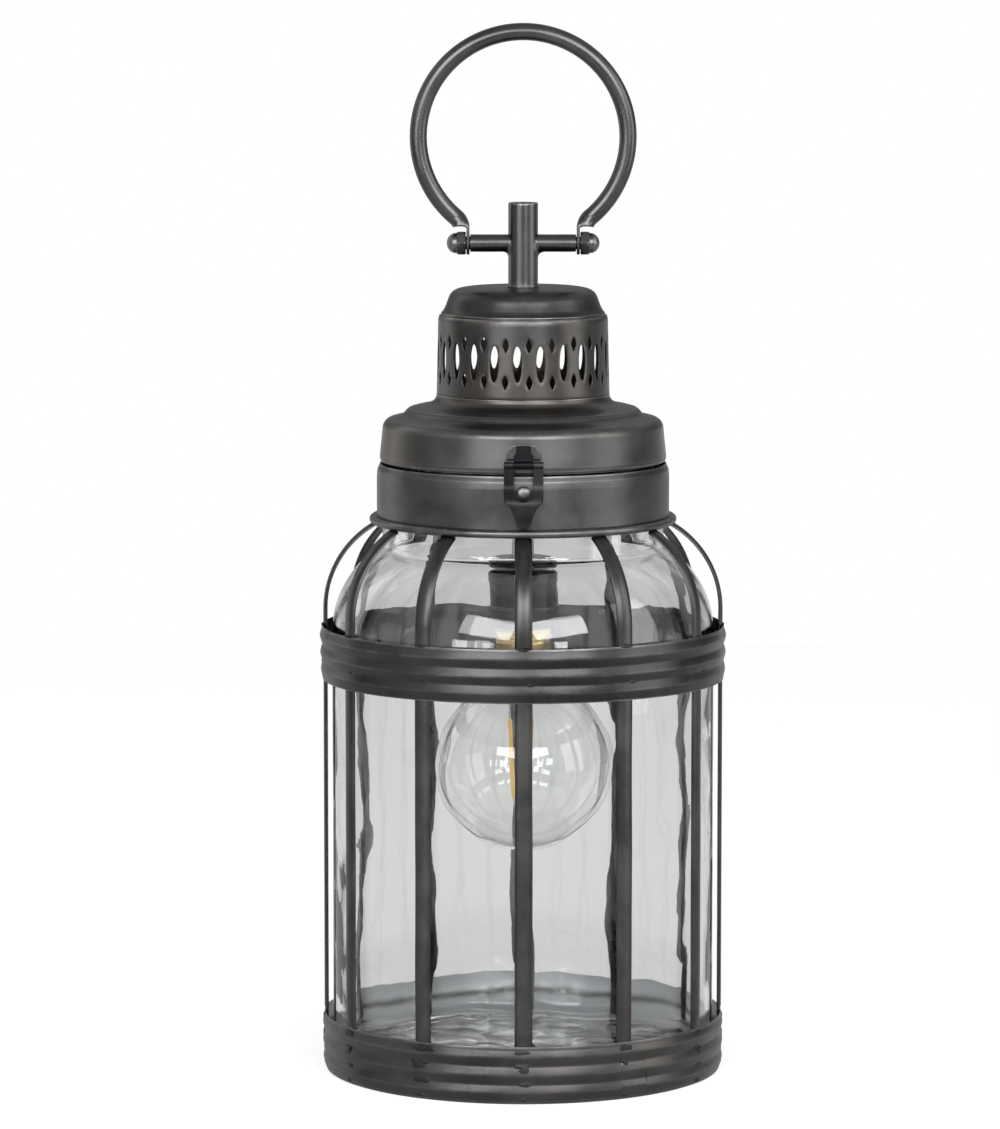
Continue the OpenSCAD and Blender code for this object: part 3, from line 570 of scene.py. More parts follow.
def make_materials():
    spun = (500, 500, 2600)  # spun sheet: its grain runs round the axis
    return {
        # The middle band's inside is painted near black: painted shade inside the cage.
        "band_metal": patina(
            "band_patina", (0.034, 0.033, 0.033), (0.064, 0.062, 0.062), (0.20, 0.195, 0.19),
            dents=0.002, inside_painted_light_or_shade=(0.012, 0.012, 0.014)),
        # The base band's inside is pale tinned metal, painted brighter and mostly non-metal: painted light
        # for the light that falls on it inside the jar.
        "base_metal": patina(
            "base_patina", (0.046, 0.045, 0.044), (0.080, 0.078, 0.076), (0.20, 0.195, 0.19),
            dents=0.002, inside_painted_light_or_shade=(0.88, 0.91, 0.96)),
        "rib_metal": patina("rib_patina", (0.040, 0.039, 0.039), (0.068, 0.067, 0.066), (0.17, 0.165, 0.16)),
        "collar_metal": patina(
            "collar_patina", (0.050, 0.049, 0.049), (0.088, 0.086, 0.085), (0.22, 0.215, 0.21), grain=spun),
        "lid_metal": patina(
            "lid_patina", (0.050, 0.049, 0.048), (0.088, 0.086, 0.084), (0.28, 0.27, 0.26),
            grain=spun, warm=0.6),
        "cap_metal": patina(
            "cap_patina", (0.037, 0.036, 0.036), (0.061, 0.060, 0.059), (0.22, 0.215, 0.21), grain=spun),
        "handle_metal": patina(
            "handle_patina", (0.070, 0.069, 0.071), (0.100, 0.099, 0.101), (0.24, 0.235, 0.23),
            warm=0.3, rough=(0.25, 0.36), dents=0.0008),
        "latch_metal": patina(
            "latch_patina", (0.008, 0.008, 0.0095), (0.018, 0.018, 0.020), (0.22, 0.218, 0.218),
            warm=0.1, rough=(0.3, 0.45)),
        "solder": patina(
            "solder_patina", (0.016, 0.016, 0.018), (0.040, 0.039, 0.041), (0.12, 0.12, 0.12),
            rough=(0.35, 0.6)),
        "base_zinc": plain("base_tinned", (0.52, 0.52, 0.51), (0.66, 0.66, 0.65), 0.4, 60, 1.0),
        "socket_metal": patina(
            "socket_steel", (0.030, 0.028, 0.027), (0.060, 0.056, 0.053), (0.2, 0.19, 0.18),
            rough=(0.22, 0.34), grain=spun),
        "zinc_steel": plain("zinc_plated_steel", (0.45, 0.45, 0.44), (0.58, 0.58, 0.57), 0.34, 220, 1.0),
        "brass": plain("brass_plate", (0.62, 0.46, 0.19), (0.74, 0.56, 0.26), 0.3, 160, 1.0),
        "black_plastic": plain("moulded_black", (0.018, 0.018, 0.019), (0.026, 0.026, 0.027), 0.5, 700),
        "white_plastic": plain("moulded_white", (0.62, 0.61, 0.58), (0.70, 0.69, 0.66), 0.42, 500),
        "ceramic": plain("socket_ceramic", (0.68, 0.65, 0.58), (0.77, 0.74, 0.68), 0.3, 240),
        "cell_sleeve": plain("cell_wrap", (0.03, 0.075, 0.045), (0.04, 0.095, 0.058), 0.28, 90),
        "wire_insulation": plain("wire_sleeve", (0.22, 0.03, 0.02), (0.28, 0.045, 0.03), 0.4, 400),
        "felt": plain("pale_felt", (0.78, 0.78, 0.77), (0.88, 0.88, 0.87), 0.95, 1600, bump=0.25, spec=0.1),
        "rubber": plain("gasket_rubber", (0.015, 0.015, 0.015), (0.03, 0.03, 0.03), 0.75, 900),
        "jar_glass": clear_glass("jar_blown_glass", (0.945, 0.95, 0.94), waves=0.05),
        "bulb_glass": clear_glass("bulb_clear_glass", (0.965, 0.972, 0.97)),
        "filament": glowing("filament_phosphor", (0.86, 0.50, 0.09), 0.25),
    }


# ---- cage


def dented(depth, size, seed=0):
    """A shift for spun pieces that only ever dents them inward, by up to depth."""
    def shift(r, z, a):
        x, y = polar(r, a)
        return r - depth * (0.5 + 0.5 * ripple(x + seed, y, z * 1.5, size)), z
    return shift


def base_band():
    groove = 90.3
    top = BASE_BAND_H
    line = [(88.5, 0), (89.7, 0.45)]
    line += bead(groove, 91.05, 2, 9) + bead(groove, 91.23, 9, 17.3) + bead(groove, 91.25, 17.3, 25.4)
    line += bent([(90.55, top - 0.5), (90.4, top, 0.4), (90, top)])
    inner = [(90 + 0.45 * abs(sin(pi * (z - 1) / 8.3)), z) for z in reversed(frange(3, top, 0.8))]
    line += inner + [(90, 2.2), (88.5, 1.3)]
    points, faces, wear_and_painted_light = lathe(line, shift=dented(0.16, 16))
    first = len(line) - 2 - len(inner)
    # A dark line round the inside, on the ridge behind the upper groove, is painted shade.
    painted_groove_shade = {first + i: -exp(-((z - 17) / 1.7) ** 2) for i, (r, z) in enumerate(inner)}
    band = points, faces, [painted_groove_shade.get(i % len(line), w) for i, w in enumerate(wear_and_painted_light)]
    # One end of the rolled strip lies over the other, to the right of the front
    lap_a, lap_turn, steps = radians(-62), radians(9), 26
    beads = bead(groove + 0.35, 91.3, 3, 9) + bead(groove + 0.35, 91.4, 9, 17.1)
    section = [(groove - 0.1, 2.6)] + beads + [(groove - 0.1, 17.1)]
    rings = []
    for k in range(steps + 1):
        fade = ease(min(k, 3) / 3)
        a = lap_a + lap_turn * k / steps
        rings.append([(*polar(groove - 0.15 + (r - groove + 0.15) * fade, a), z) for r, z in section])
    return joined([band, loft(rings, 0.1)])


def middle_band():
    groove, low, top = 91.0, MID_BAND_Z, MID_BAND_Z + MID_BAND_H
    line = [(90.6, low), (groove, low)]
    line += bead(groove, 91.75, low + 0.7, low + 8.2) + bead(groove, 92.02, low + 8.2, low + 15.6)
    line += bead(groove, 92.15, low + 15.6, top - 0.5)
    line += [(groove + 0.2, top - 0.4), (groove, top), (90.6, top)]
    return lathe(line, shift=dented(0.18, 18, 40))


def rib(i):
    """One bar: flat in the base band, half-oval above it, bent in over the shoulder."""
    turn = radians(-90 + (i - 1) * 360 / RIB_COUNT)
    out = Vector((cos(turn), sin(turn), 0))
    side = Vector((-sin(turn), cos(turn), 0))
    up = Vector((0, 0, 1))
    back_r = SHOULDER_R - RIB_T
    rise = degrees(asin((RIB_END_Z - SHOULDER_Z) / SHOULDER_R))
    stations = [(RIB_IN_R, RIB_FOOT_Z + k * 3.2, 0) for k in range(65)]
    for k in range(37):
        a = radians((rise + 1.5) * k / 36)
        stations.append((BEND_R + back_r * cos(a), SHOULDER_Z + back_r * sin(a), a))
    rings = []
    for r, z, lean in stations:
        if z > RIB_END_Z - 0.3:
            break
        normal = out * cos(lean) + up * sin(lean)
        sway = 0.22 * ripple(i * 7.3, 0, z, 38)
        thick = RIB_T - (RIB_T - 1.25) * (1 - ease((z - 24.5) / 3))
        half = RIB_W / 2 + 0.12 * ripple(i * 3.1, 9, z, 24)
        centre = out * r + up * z + side * sway
        ring = []
        for k in range(15):
            a = pi * k / 14
            ring.append(centre - side * half * cos(a) + normal * thick * (0.16 + 0.84 * sin(a) ** 0.9))
        ring.append(centre + side * (half - 0.25))
        ring.append(centre - side * (half - 0.25))
        rings.append(ring)
    shape = loft(rings)
    size = len(rings[0])
    # Each rib's crown is brightened along its middle: a painted highlight.
    wear_and_painted_light = [0.22 * sin(pi * min(k % size, 14) / 14) ** 4 for k in range(len(shape[0]))]
    return shape[0], shape[1], wear_and_painted_light


def solder_dabs():
    """Dark solder across the bands' grooves and beads, where the ribs are fixed behind them."""
    rng = random.Random(11)
    dabs = []

    def dab(turn, r, z, thick, wide, tall):
        lump = blob(rng.uniform(0.85, 1.15), rng.uniform(0, 50), (thick, wide, tall))
        dabs.append(moved(lump, Matrix.Rotation(radians(turn), 4, "Z") @ Matrix.Translation((r, 0, z))))

    for i in range(RIB_COUNT):
        turn = -90 + i * 30 + rng.uniform(-0.4, 0.4)
        big = 1.35 if i == 11 else rng.uniform(0.8, 1.15)
        dab(turn - 0.5, 90.35, 17.3, 0.34, 3.1 * big, 1.1)
        dab(turn + 0.4, 90.35, 9.2, 0.36, 2.9 * big, 1.4 * big)
        dab(turn - 0.2, 90.2, 2.4, 0.4, 2.0 * big, 1.1)
        dab(turn + rng.uniform(-1, 1), 90.75, 14.8, 0.28, 2.2 * big, 2.6)
        dab(turn + rng.uniform(-1, 1), 90.8, 22.9, 0.25, 3.6 * big, 2.0)
        dab(turn + rng.uniform(1.2, 2.2), 91.05, MID_BAND_Z + 8.2, 0.22, 1.6, 0.8)
        dab(turn, 90.6, MID_BAND_Z + MID_BAND_H, 0.8, 3.2, 0.75)
    return joined(dabs)


# ---- glass


def jar():
    """Blown jar: thick floor, straight wall, round shoulder and a short neck."""
    in_r, heel_r, step = JAR_R - JAR_T, 5, 2.4
    bend_x, hollow_x = JAR_R - JAR_BEND_R, NECK_R + JAR_NECK_BEND_R
    lean = acos((hollow_x - bend_x) / (JAR_BEND_R + JAR_NECK_BEND_R))
    hollow_z = JAR_BEND_Z + (JAR_BEND_R + JAR_NECK_BEND_R) * sin(lean)
    lean = degrees(lean)
    line = [(r, JAR_BOTTOM_Z + 1.6 - 0.6 * (r / 70) ** 2) for r in range(0, 76, 3)] + [(79, JAR_BOTTOM_Z)]
    line += arc(JAR_R - 6, JAR_BOTTOM_Z + 6, 6, -90, 0, 12)
    line += [(JAR_R, z) for z in frange(JAR_BOTTOM_Z + 8, JAR_BEND_Z, step)]
    line += arc(bend_x, JAR_BEND_Z, JAR_BEND_R, 0, lean, 26)
    line += arc(hollow_x, hollow_z, JAR_NECK_BEND_R, 180 + lean, 180, 8)[1:] + [(NECK_R, hollow_z + 5)]
    line += arc(NECK_R - 1.5, NECK_TOP_Z - 1.5, 1.5, 0, 180, 10) + [(NECK_R - JAR_T, hollow_z + 5)]
    line += arc(hollow_x, hollow_z, JAR_NECK_BEND_R + JAR_T, 180, 180 + lean, 8)
    line += arc(bend_x, JAR_BEND_Z, JAR_BEND_R - JAR_T, lean, 0, 26)[1:]
    line += [(in_r, z) for z in reversed(frange(JAR_FLOOR_Z + 8, JAR_BEND_Z, step))]
    line += arc(in_r - heel_r, JAR_FLOOR_Z + heel_r, heel_r, 0, -90, 12)
    line += [(r, JAR_FLOOR_Z) for r in range(78, -1, -3)]

    def blown(r, z, a):
        x, y = polar(r, a)
        if z < JAR_BOTTOM_Z + 2 and r < JAR_R - 6:  # underside, moulded
            return r, z + 0.25 * ripple(x, y, 7, 16) * ease((r - 1) / 10)
        if z < JAR_FLOOR_Z + 2 and r < in_r - heel_r + 1:  # the floor's swirls
            swirl = ripple(x + 9 * ripple(x, y, 3, 30), y, 1, 20) + 0.5 * ripple(x, y, 5, 9)
            return r, z + 1.0 * swirl * ease((80 - r) / 12)
        calm = ease((234 - z) / 12)
        middle = JAR_BEND_R - JAR_T / 2
        wall = hypot(r - bend_x, z - JAR_BEND_Z) < middle if z > JAR_BEND_Z else r < bend_x + middle
        if wall:  # the inside
            near_floor = ease((34 - z) / 20)
            slow = 0.5 * ripple(x, y, z * 0.6, 27)
            quick = (0.1 + 0.16 * near_floor) * ripple(x + 50, y, z * 0.8, 11)
            return r + (slow + quick) * calm, z
        return r + (0.06 * ripple(x, y + 80, z * 0.6, 26) - 0.05) * calm, z

    return lathe(line, 240, blown)


def bulb_globe():
    neck, flare_r, t = 12.2, 20, 0.9
    flare_x = neck + flare_r
    lean = acos(flare_x / (BULB_R + flare_r))
    flare_z = BULB_Z + (BULB_R + flare_r) * sin(lean)
    lean = degrees(lean)
    line = arc(0, BULB_Z, BULB_R, -90, lean, 48) + arc(flare_x, flare_z, flare_r, 180 + lean, 180, 12)
    line += [(neck, CAP_Z + 3.5), (neck - t, CAP_Z + 3.5)]
    line += arc(flare_x, flare_z, flare_r + t, 180, 180 + lean, 12)
    line += arc(0, BULB_Z, BULB_R - t, lean, -90, 48)
    line = [(max(0, r), z) for r, z in line]

    def blown(r, z, a):
        x, y = polar(r, a)
        return r + 0.05 * ripple(x, y, z, 22) * ease((CAP_Z - z) / 10) - 0.03, z

    return lathe(line, 144, blown)


def bulb_cap():
    """Screw cap with a rolled thread that climbs one pitch a turn."""
    pitch, first, last = 3.6, CAP_Z + 4, CAP_Z + 23
    line = [(12.7, z) for z in frange(CAP_Z, CAP_Z + 24, 0.45)] + [(12.1, CAP_Z + 24.4), (9.7, CAP_Z + 27)]
    line = sheet(line, 0.3)

    def thread(r, z, a):
        share = ease((z - first) / 1.5) * ease((last - z) / 1.5) * (r > 11)
        return r + share * 0.42 * cos(TAU * (z / pitch - a / TAU)) - 0.05 * share, z

    return lathe(line, 72, thread)


def stem():
    """Glass stem that holds the filament, flared into the bulb's neck."""
    return lathe([(0, 164), (1.4, 164.1), (2.1, 165), (2.6, 168), (2.5, 176), (2.7, 181), (4, 186),
                  (6, 189), (8.5, 190.8), (10.6, 191.6), (10.6, 192.4), (7, 192.2), (4.2, 190),
                  (2, 187.6), (0, 186.6)], 48)


def filament():
    """Two phosphor strips that stand a little closer at their feet, with bare ends."""
    low, high, half_w, half_t = 122.7, 159.6, 1.05, 0.45
    strips = []
    for head_x in (-4.7, 3.9):
        foot_x = head_x - copysign(0.8, head_x)
        rings = []
        for z in frange(low, high, 0.6) + [high]:
            slim = 1 - 0.35 * ease((low + 1.3 - z) / 1.3) - 0.35 * ease((z - high + 1.3) / 1.3)
            x = foot_x + (head_x - foot_x) * (z - low) / (high - low)
            rings.append([(x + half_w * slim * u, half_t * slim * v, z) for u, v in squarish(0.6, 16)])
        strips.append(loft(rings))
    return joined(strips)


# ---- lamp holder


def socket_cover():
    r, top = SOCKET_R, COVER_TOP_Z
    line = bent([(r, SOCKET_Z), (r, top - 5.7, 0.3), (r + 0.3, top - 5.2, 0.3), (r + 0.3, top - 1.6, 0.8),
                 (r - 1, top - 0.1, 1), (5.15, top)])
    bead_line = bent([(r - 0.1, 211.2), (r + 0.25, 211.6, 0.3), (r + 0.25, 212.4, 0.3), (r - 0.1, 212.8)])
    return joined([lathe(sheet(line, 0.7), 120), lathe(bead_line + [(r - 0.4, 212)], 120)])


def socket_canopy():
    low, high, r = CANOPY_Z, CANOPY_Z + 3.4, 14.6
    line = rounded([(5.03, low), (r - 1, low, 0.5), (r, low + 0.9, 0.6), (r, high - 0.9, 0.6),
                    (r - 1.6, high, 0.7), (5.03, high)])
    return lathe(line, 120)


# ---- collar and lid


def flange():
    z, in_r, r = RIB_END_Z + 0.1, COLLAR_R - SHEET_T, FLANGE_H / 2
    line = [(in_r, z)] + arc(FLANGE_R - r, z + r, r, -90, 90, 16) + [(in_r, z + FLANGE_H)]
    return lathe(line, shift=dented(0.12, 20, 15))


def collar():
    line = bent([(COLLAR_R, COLLAR_Z), (COLLAR_R, 262), (COLLAR_R, 271, 4), (COLLAR_R - 0.25, 273.9, 3),
                 (COLLAR_R - 1, 275.6, 1.2), (COLLAR_R - 1.3, SEAM_Z - 0.35)])
    return lathe(sheet(line, SHEET_T), shift=dented(0.1, 34, 70))


def lid():
    foot = SEAM_Z + 0.4
    outline = [(LID_R - 1.8, foot), (LID_R - 0.7, foot + 0.25, 0.7), (LID_R - 0.1, foot + 1.3, 1.2),
               (LID_R, 280.3, 2), (LID_R - 0.35, 284, 6), (LID_R - 0.9, 289), (LID_R - 1.25, 292.3, 1.5)]
    line = bent(outline)[:-1]
    line += arc(58.6, 292.3, 4.9, 3, 70, 12)
    line += bent([(57, 297.6), (55.2, 298.3, 1), (53.9, 299, 0.8), (53, 300.2, 0.9), (51.6, 301.4, 1.6),
                  (48.6, 302.2, 4), (45, 302.8, 3), (42.2, 303.7)], step=8)
    line += arc(GALLERY_R + 4.4, 307.9, 4.3, 232, 180, 9)
    return lathe(sheet(line, SHEET_T), shift=dented(0.1, 30, 120))


def leaf_hole(x, y, w, h, count=14):
    """A small opening with pointed ends and curved sides."""
    points = []
    for k in range(count):
        t = 2 * k / count
        y_share, way = (1 - 2 * t, 1) if t <= 1 else (2 * t - 3, -1)
        points.append((x + way * w / 2 * (1 - abs(y_share) ** 1.35), y + h / 2 * y_share))
    return points


def gallery():
    """Pierced tube. One cell with its openings is cut once, then set round the tube 23 times."""
    pitch = TAU * GALLERY_R / SLOT_COUNT
    left, right = -0.28 * pitch, 0.72 * pitch
    foot, top = 308.1, GALLERY_TOP_Z
    rows = 24
    sides = [foot + (top - foot) * k / rows for k in range(rows + 1)]
    columns = 7
    across = [left + pitch * k / columns for k in range(columns + 1)]
    outline = [(x, foot) for x in across] + [(right, z) for z in sides[1:]]
    outline += [(x, top) for x in reversed(across[:-1])] + [(left, z) for z in reversed(sides[1:-1])]
    holes = [[(SLOT_W / 2 * u, SLOT_Z + SLOT_H / 2 * v) for u, v in squarish(1, 32)]]
    holes += [leaf_hole(pitch / 2, SLOT_Z + s * 8.2, 2.9, 7) for s in (-1, 1)]
    flat, faces = cut_sheet(outline, holes, 1.5)
    rng = random.Random(4)
    shapes = []
    for i in range(SLOT_COUNT):
        slide = rng.uniform(-0.3, 0.3)
        lift = rng.uniform(-0.35, 0.35)
        lean = rng.uniform(-0.025, 0.025)
        points = []
        for x, z in flat:
            calm = (ease((x - left) / 1.2) * ease((right - x) / 1.2)
                    * ease((z - foot) / 6) * ease((top - z) / 6))
            u = x + calm * (slide + lean * (z - SLOT_Z))
            v = z + calm * lift
            a = radians(-90 - 3.8) + (u + i * pitch) / GALLERY_R
            r = GALLERY_R + (GALLERY_TOP_R - GALLERY_R) * (v - foot) / (top - foot)
            r -= 0.5 * ease((v - top + 0.9) / 0.9) ** 2
            points.append((*polar(r, a), v))
        # Brighter towards the top rim: a painted highlight line.
        shapes.append((points, faces, [0.85 * ease((z - top + 1.6) / 1.4) for x, z in flat]))
    return joined(shapes)


def chimney_cap():
    skirt = GALLERY_TOP_R - GALLERY_T - 0.25
    line = bent([(skirt, 339.5), (skirt, 344.4, 0.6), (36.2, 345.3, 0.8), (35.4, 346.6)])[:-1]
    line += smooth_line([(35.4, 346.6), (34.4, 349.1), (33.5, 351.6), (32.2, 353.6), (30, 355),
                         (26.6, 355.75), (22, CAP_TOP_Z)], 4) + [(10, CAP_TOP_Z), (0, CAP_TOP_Z)]
    return lathe(sheet(line, GALLERY_T), shift=dented(0.08, 24, 200))


# ---- handle


def post():
    top = POST_TOP_Z
    line = bent([(0, CAP_TOP_Z + 0.05), (POST_R + 0.5, CAP_TOP_Z + 0.05, 0.2), (POST_R, CAP_TOP_Z + 1.2, 0.6),
                 (POST_R, top - 1.2, 0.2), (POST_R - 0.1, top, 0.9), (0, top)])
    body = lathe(stepped(line, POST_R, CAP_TOP_Z + 3, top - 3, 3), 72, dented(0.07, 14, 300))
    return joined([body, lathe([(0, 349.6), (4, 349.6), (4, 357.6), (0, 357.6)], 36)])


def solder_fillet(way):
    """Solder that fills the corner under the bar, where it meets the post."""
    rings, arc_steps = [], 6
    for k in range(25):
        around = radians(-112 + 224 * k / 24)
        reach = 0.25 + 2.2 * cos(around / 2) ** 4 * (1 + 0.15 * sin(5 * around + way))
        ring = []
        for j in range(arc_steps + 1):
            lean = pi / 2 * j / arc_steps
            along, away = reach * (1 - sin(lean)), reach * (1 - cos(lean))
            r = BAR_R + away
            y = r * sin(around)
            x = sqrt(max(0, POST_R ** 2 - y * y)) + along
            ring.append((way * x, y, BAR_Z - r * cos(around)))
        r = BAR_R - 0.4
        y = r * sin(around)
        ring.append((way * (sqrt(POST_R ** 2 - y * y) - 0.5), y, BAR_Z - r * cos(around)))
        rings.append(ring)
    return loft(rings, 0.1)


def crossbar():
    end, stud = 23.8, 31
    line = bent([(0, -stud), (3, -stud, 0.5), (3, -end), (BAR_R, -end, 0.35), (BAR_R, end, 0.35), (3, end),
                 (3, stud, 0.5), (0, stud)])
    line = stepped(line, BAR_R, -end + 2, end - 1, 2.5)
    bar = moved(lathe(line, 64, dented(0.1, 8, 330)), along_x(0, 0, BAR_Z))
    return joined([bar, solder_fillet(1), solder_fillet(-1)])


def cap_nut(way):
    """Hexagon with chamfered corners, a washer face and a domed end."""
    flat = 5
    across = [(0, 4.9), (0.25, 5.35), (0.7, 5.9), (2, 6), (3.2, 5.9), (3.75, 5.3), (3.9, 4.75),
              (4.3, 4.55), (5.2, 4.5), (6.1, 4.2), (7, 3.6), (7.7, 2.8), (8.2, 1.9), (8.5, 1), (8.6, 0.3)]
    rings = []
    for x, limit in across:
        ring = []
        for k in range(72):
            a = TAU * k / 72
            hexagon = flat / cos((a + TAU / 12) % (TAU / 6) - TAU / 12)
            r = min(limit, hexagon) if x < 4 else limit
            ring.append((way * (NUT_X + x), r * sin(a), BAR_Z + r * cos(a)))
        rings.append(ring)
    shape = loft(rings)
    wear_and_painted_light = [0.15 + 0.55 * ease((abs(p[0]) - NUT_X - 4.6) / 2) for p in shape[0]]
    return shape[0], shape[1], wear_and_painted_light


def ring_handle():
    """Round rod whose ends bend down and flatten into tabs on the bar's studs."""
    rod_r = ROD_D / 2
    ring_r = RING_D / 2 - rod_r
    in_r = RING_D / 2 - ROD_D
    end_a = 50
    c = cos(radians(end_a))
    bend_r = (in_r * c - TAB_IN_X) / (1 - c)
    start_z = RING_Z - (in_r + bend_r) * sin(radians(end_a))
    wide_at = [(0, 2 * TAB_R), (0.25, 10.1), (0.5, 9.5), (0.8, 8.5), (1, ROD_D)]
    tab = []  # height and width along the flat tab
    for k in range(15):
        below = TAB_R * cos(pi / 2 * k / 14)
        tab.append((BAR_Z - below, 2 * sqrt(max(0.04, TAB_R ** 2 - below ** 2))))
    tab += [(BAR_Z + (start_z - BAR_Z) * k / 5, 2 * TAB_R) for k in range(1, 5)]
    # The right arm from its tab's lower end up: centre, outward, thickness, width, squareness
    half = [(Vector((TAB_IN_X + TAB_T / 2, 0, z)), Vector((1, 0, 0)), TAB_T, wide, 5) for z, wide in tab]
    steps = 30
    for k in range(steps + 1):
        t = k / steps
        a = radians(end_a) * t
        wide = between(wide_at, t)
        thick = TAB_T + (ROD_D - TAB_T) * ease(t / 0.52)
        inner = Vector((TAB_IN_X + bend_r, 0, start_z)) - Vector((cos(a), 0, -sin(a))) * bend_r
        a = radians(end_a) * t ** 0.75
        out = Vector((cos(a), 0, -sin(a)))
        half.append((inner + out * thick / 2, out, thick, wide, 5 - 3 * ease(t * 1.3)))
    circle = []
    for k in range(1, 90):
        a = radians(-end_a + (180 + 2 * end_a) * k / 90)
        out = Vector((cos(a), 0, sin(a)))
        circle.append((Vector((0, 0, RING_Z)) + out * ring_r, out, ROD_D, ROD_D, 2))
    mirrored = [(Vector((-p.x, 0, p.z)), Vector((-o.x, 0, o.z)), t, w, n) for p, o, t, w, n in reversed(half)]
    rings = []
    across = Vector((0, 1, 0))
    for centre, out, thick, wide, square in half + circle + mirrored:
        rings.append([centre + out * (u * thick / 2) + across * (v * wide / 2)
                      for u, v in squarish(2 / square, 32)])
    shape = loft(rings)
    wear_and_painted_light = [0.1 * ease((0.02 + abs(x) / TAB_IN_X - 0.9) / 0.2) * ease((start_z + 6 - z) / 8)
            for x, _, z in shape[0]]
    return shape[0], shape[1], wear_and_painted_light


# ---- latch


def keeper_plate():
    """Plate with round shoulders, bent to the lid's rim."""
    outline = rounded([(-8.1, 283.7, 0.8), (8.1, 283.7, 0.8), (7.7, 287.4, 3), (5.4, 290.6, 1.6),
                       (-5.4, 290.6, 1.6), (-7.7, 287.4, 3)])
    flat, faces = cut_sheet(outline, [], 1.1)
    points = []
    for x, z in flat:
        r = LID_R + 0.75 - 0.15 * (z - 283.6) / 7.4
        points.append((x, -sqrt(r * r - x * x), z))
    return points, faces, [0.0] * len(points)


def keeper_strap():
    """Strap that comes down from the plate and curls round the hasp's bar."""
    t, curl = 0.9, 1.42
    line = smooth_line([(-66.3, 290.4), (-66.4, 288.2), (-66.45, 286), (-66.5, 284.3)], 5)
    line += arc(HASP_Y, HASP_Z, curl, 52, 318, 26)
    rings = []
    for i, here in enumerate(line):
        along = Vector(line[min(i + 1, len(line) - 1)]) - Vector(line[max(i - 1, 0)])
        normal = Vector((-along.y, along.x)).normalized() * t / 2
        half = between([(283, KEEPER_W / 2), (286.2, KEEPER_W / 2), (286.9, 3.2), (290, 3.2)], here[1])
        rings.append([(x, here[0] + normal.x * side, here[1] + normal.y * side)
                      for x, side in rounded([(-half, -1), (half, -1), (half, 1), (-half, 1)])])
    return loft(rings)


def hasp_plate():
    """Plate with a window over the knob and a tongue that bulges out below it."""
    half, top = HASP_W / 2, HASP_Z + 0.2
    window_r = 4.45
    window_z = KNOB_Z - 3.6 + window_r
    right = [(2.1, 253.75, 1.6), (3.1, 255.6, 3), (4.1, 259.2, 4), (5.6, 262.6, 4), (half - 0.9, 265.9, 2.6),
             (half, 268.6, 2), (half, top)]
    outline = rounded([(-x, *rest) for x, *rest in reversed(right)] + right)
    window = arc(0, window_z, window_r, 180, 360, 18)
    sides = frange(window_z, top - 1.6, 1.1)[1:] + [top - 1.6]
    window += [(window_r, z) for z in sides] + [(x, top - 1.6) for x in (2.2, 0, -2.2)]
    window += [(-window_r, z) for z in reversed(sides)]
    edge = []
    for (x0, z0), (x1, z1) in zip(outline, outline[1:] + outline[:1]):
        count = max(1, ceil(hypot(x1 - x0, z1 - z0) / 1.1))
        edge += [(x0 + (x1 - x0) * k / count, z0 + (z1 - z0) * k / count) for k in range(count)]
    flat, faces = cut_sheet(edge, [window], 1.0)
    bend = [(252.7, -69.9), (256.4, -70.4), (260, -71.6), (263.4, -72.1), (265.6, -72), (267.6, -71),
            (270.6, -69), (272.5, -68.25), (275, -68.2), (284.4, -68.2)]
    track = smooth_line(bend, 8)
    points = [(x, between(track, z), z) for x, z in flat]
    return points, faces, [0.1] * len(points)


def hasp_curls():
    """The plate's upper corners, rolled round the bar, and the bar."""
    curl = rounded([(0.97, 0, 0.2), (1.6, 0, 0.4), (1.6, 4.1, 0.4), (0.97, 4.1, 0.2)])
    parts = [moved(lathe(curl, 32), along_x(way * 4.62, HASP_Y, HASP_Z, way)) for way in (1, -1)]
    bar = bent([(0, 0), (0.95, 0, 0.3), (0.95, HASP_W - 0.6, 0.3), (0, HASP_W - 0.6)])
    parts.append(moved(lathe(bar, 24), along_x(-(HASP_W - 0.6) / 2, HASP_Y, HASP_Z)))
    points, faces, _ = joined(parts)
    return points, faces, [0.15] * len(points)


def knob():
    line = bent([(0, 64.1), (2.6, 64.1), (2.6, 64.8), (1.6, 65.1), (1.6, 66.3), (2.4, 66.3), (2.4, 67.2),
                 (3.0, 67.3, 0.2), (3.3, 67.8, 0.3), (3.15, 68.5, 0.5), (2.5, 69.2, 0.8), (1.4, 69.65, 1),
                 (0, 69.8)])

    def beaten(r, z, a):
        return r * (1 + 0.03 * sin(3 * a)), z - 0.12 * ease(0.5 - 0.5 * sin(2 * a)) * (z > 69)

    dome = lathe(line, 48, beaten)
    points = [(x, -z, KNOB_Z + y) for x, y, z in dome[0]]
    # The front of the dome is brightened: a painted highlight.
    return points, dome[1], [0.8 * ease((-p[1] - 67.5) / 1.5) for p in points]


# ---- putting it together


def dress(node, material, rounding):
    """A CAD node that is shown as it is, with its own finish and slightly rounded edges."""
    node.data.materials.clear()
    node.data.materials.append(material)
    if rounding:
        round_edges(node, rounding)


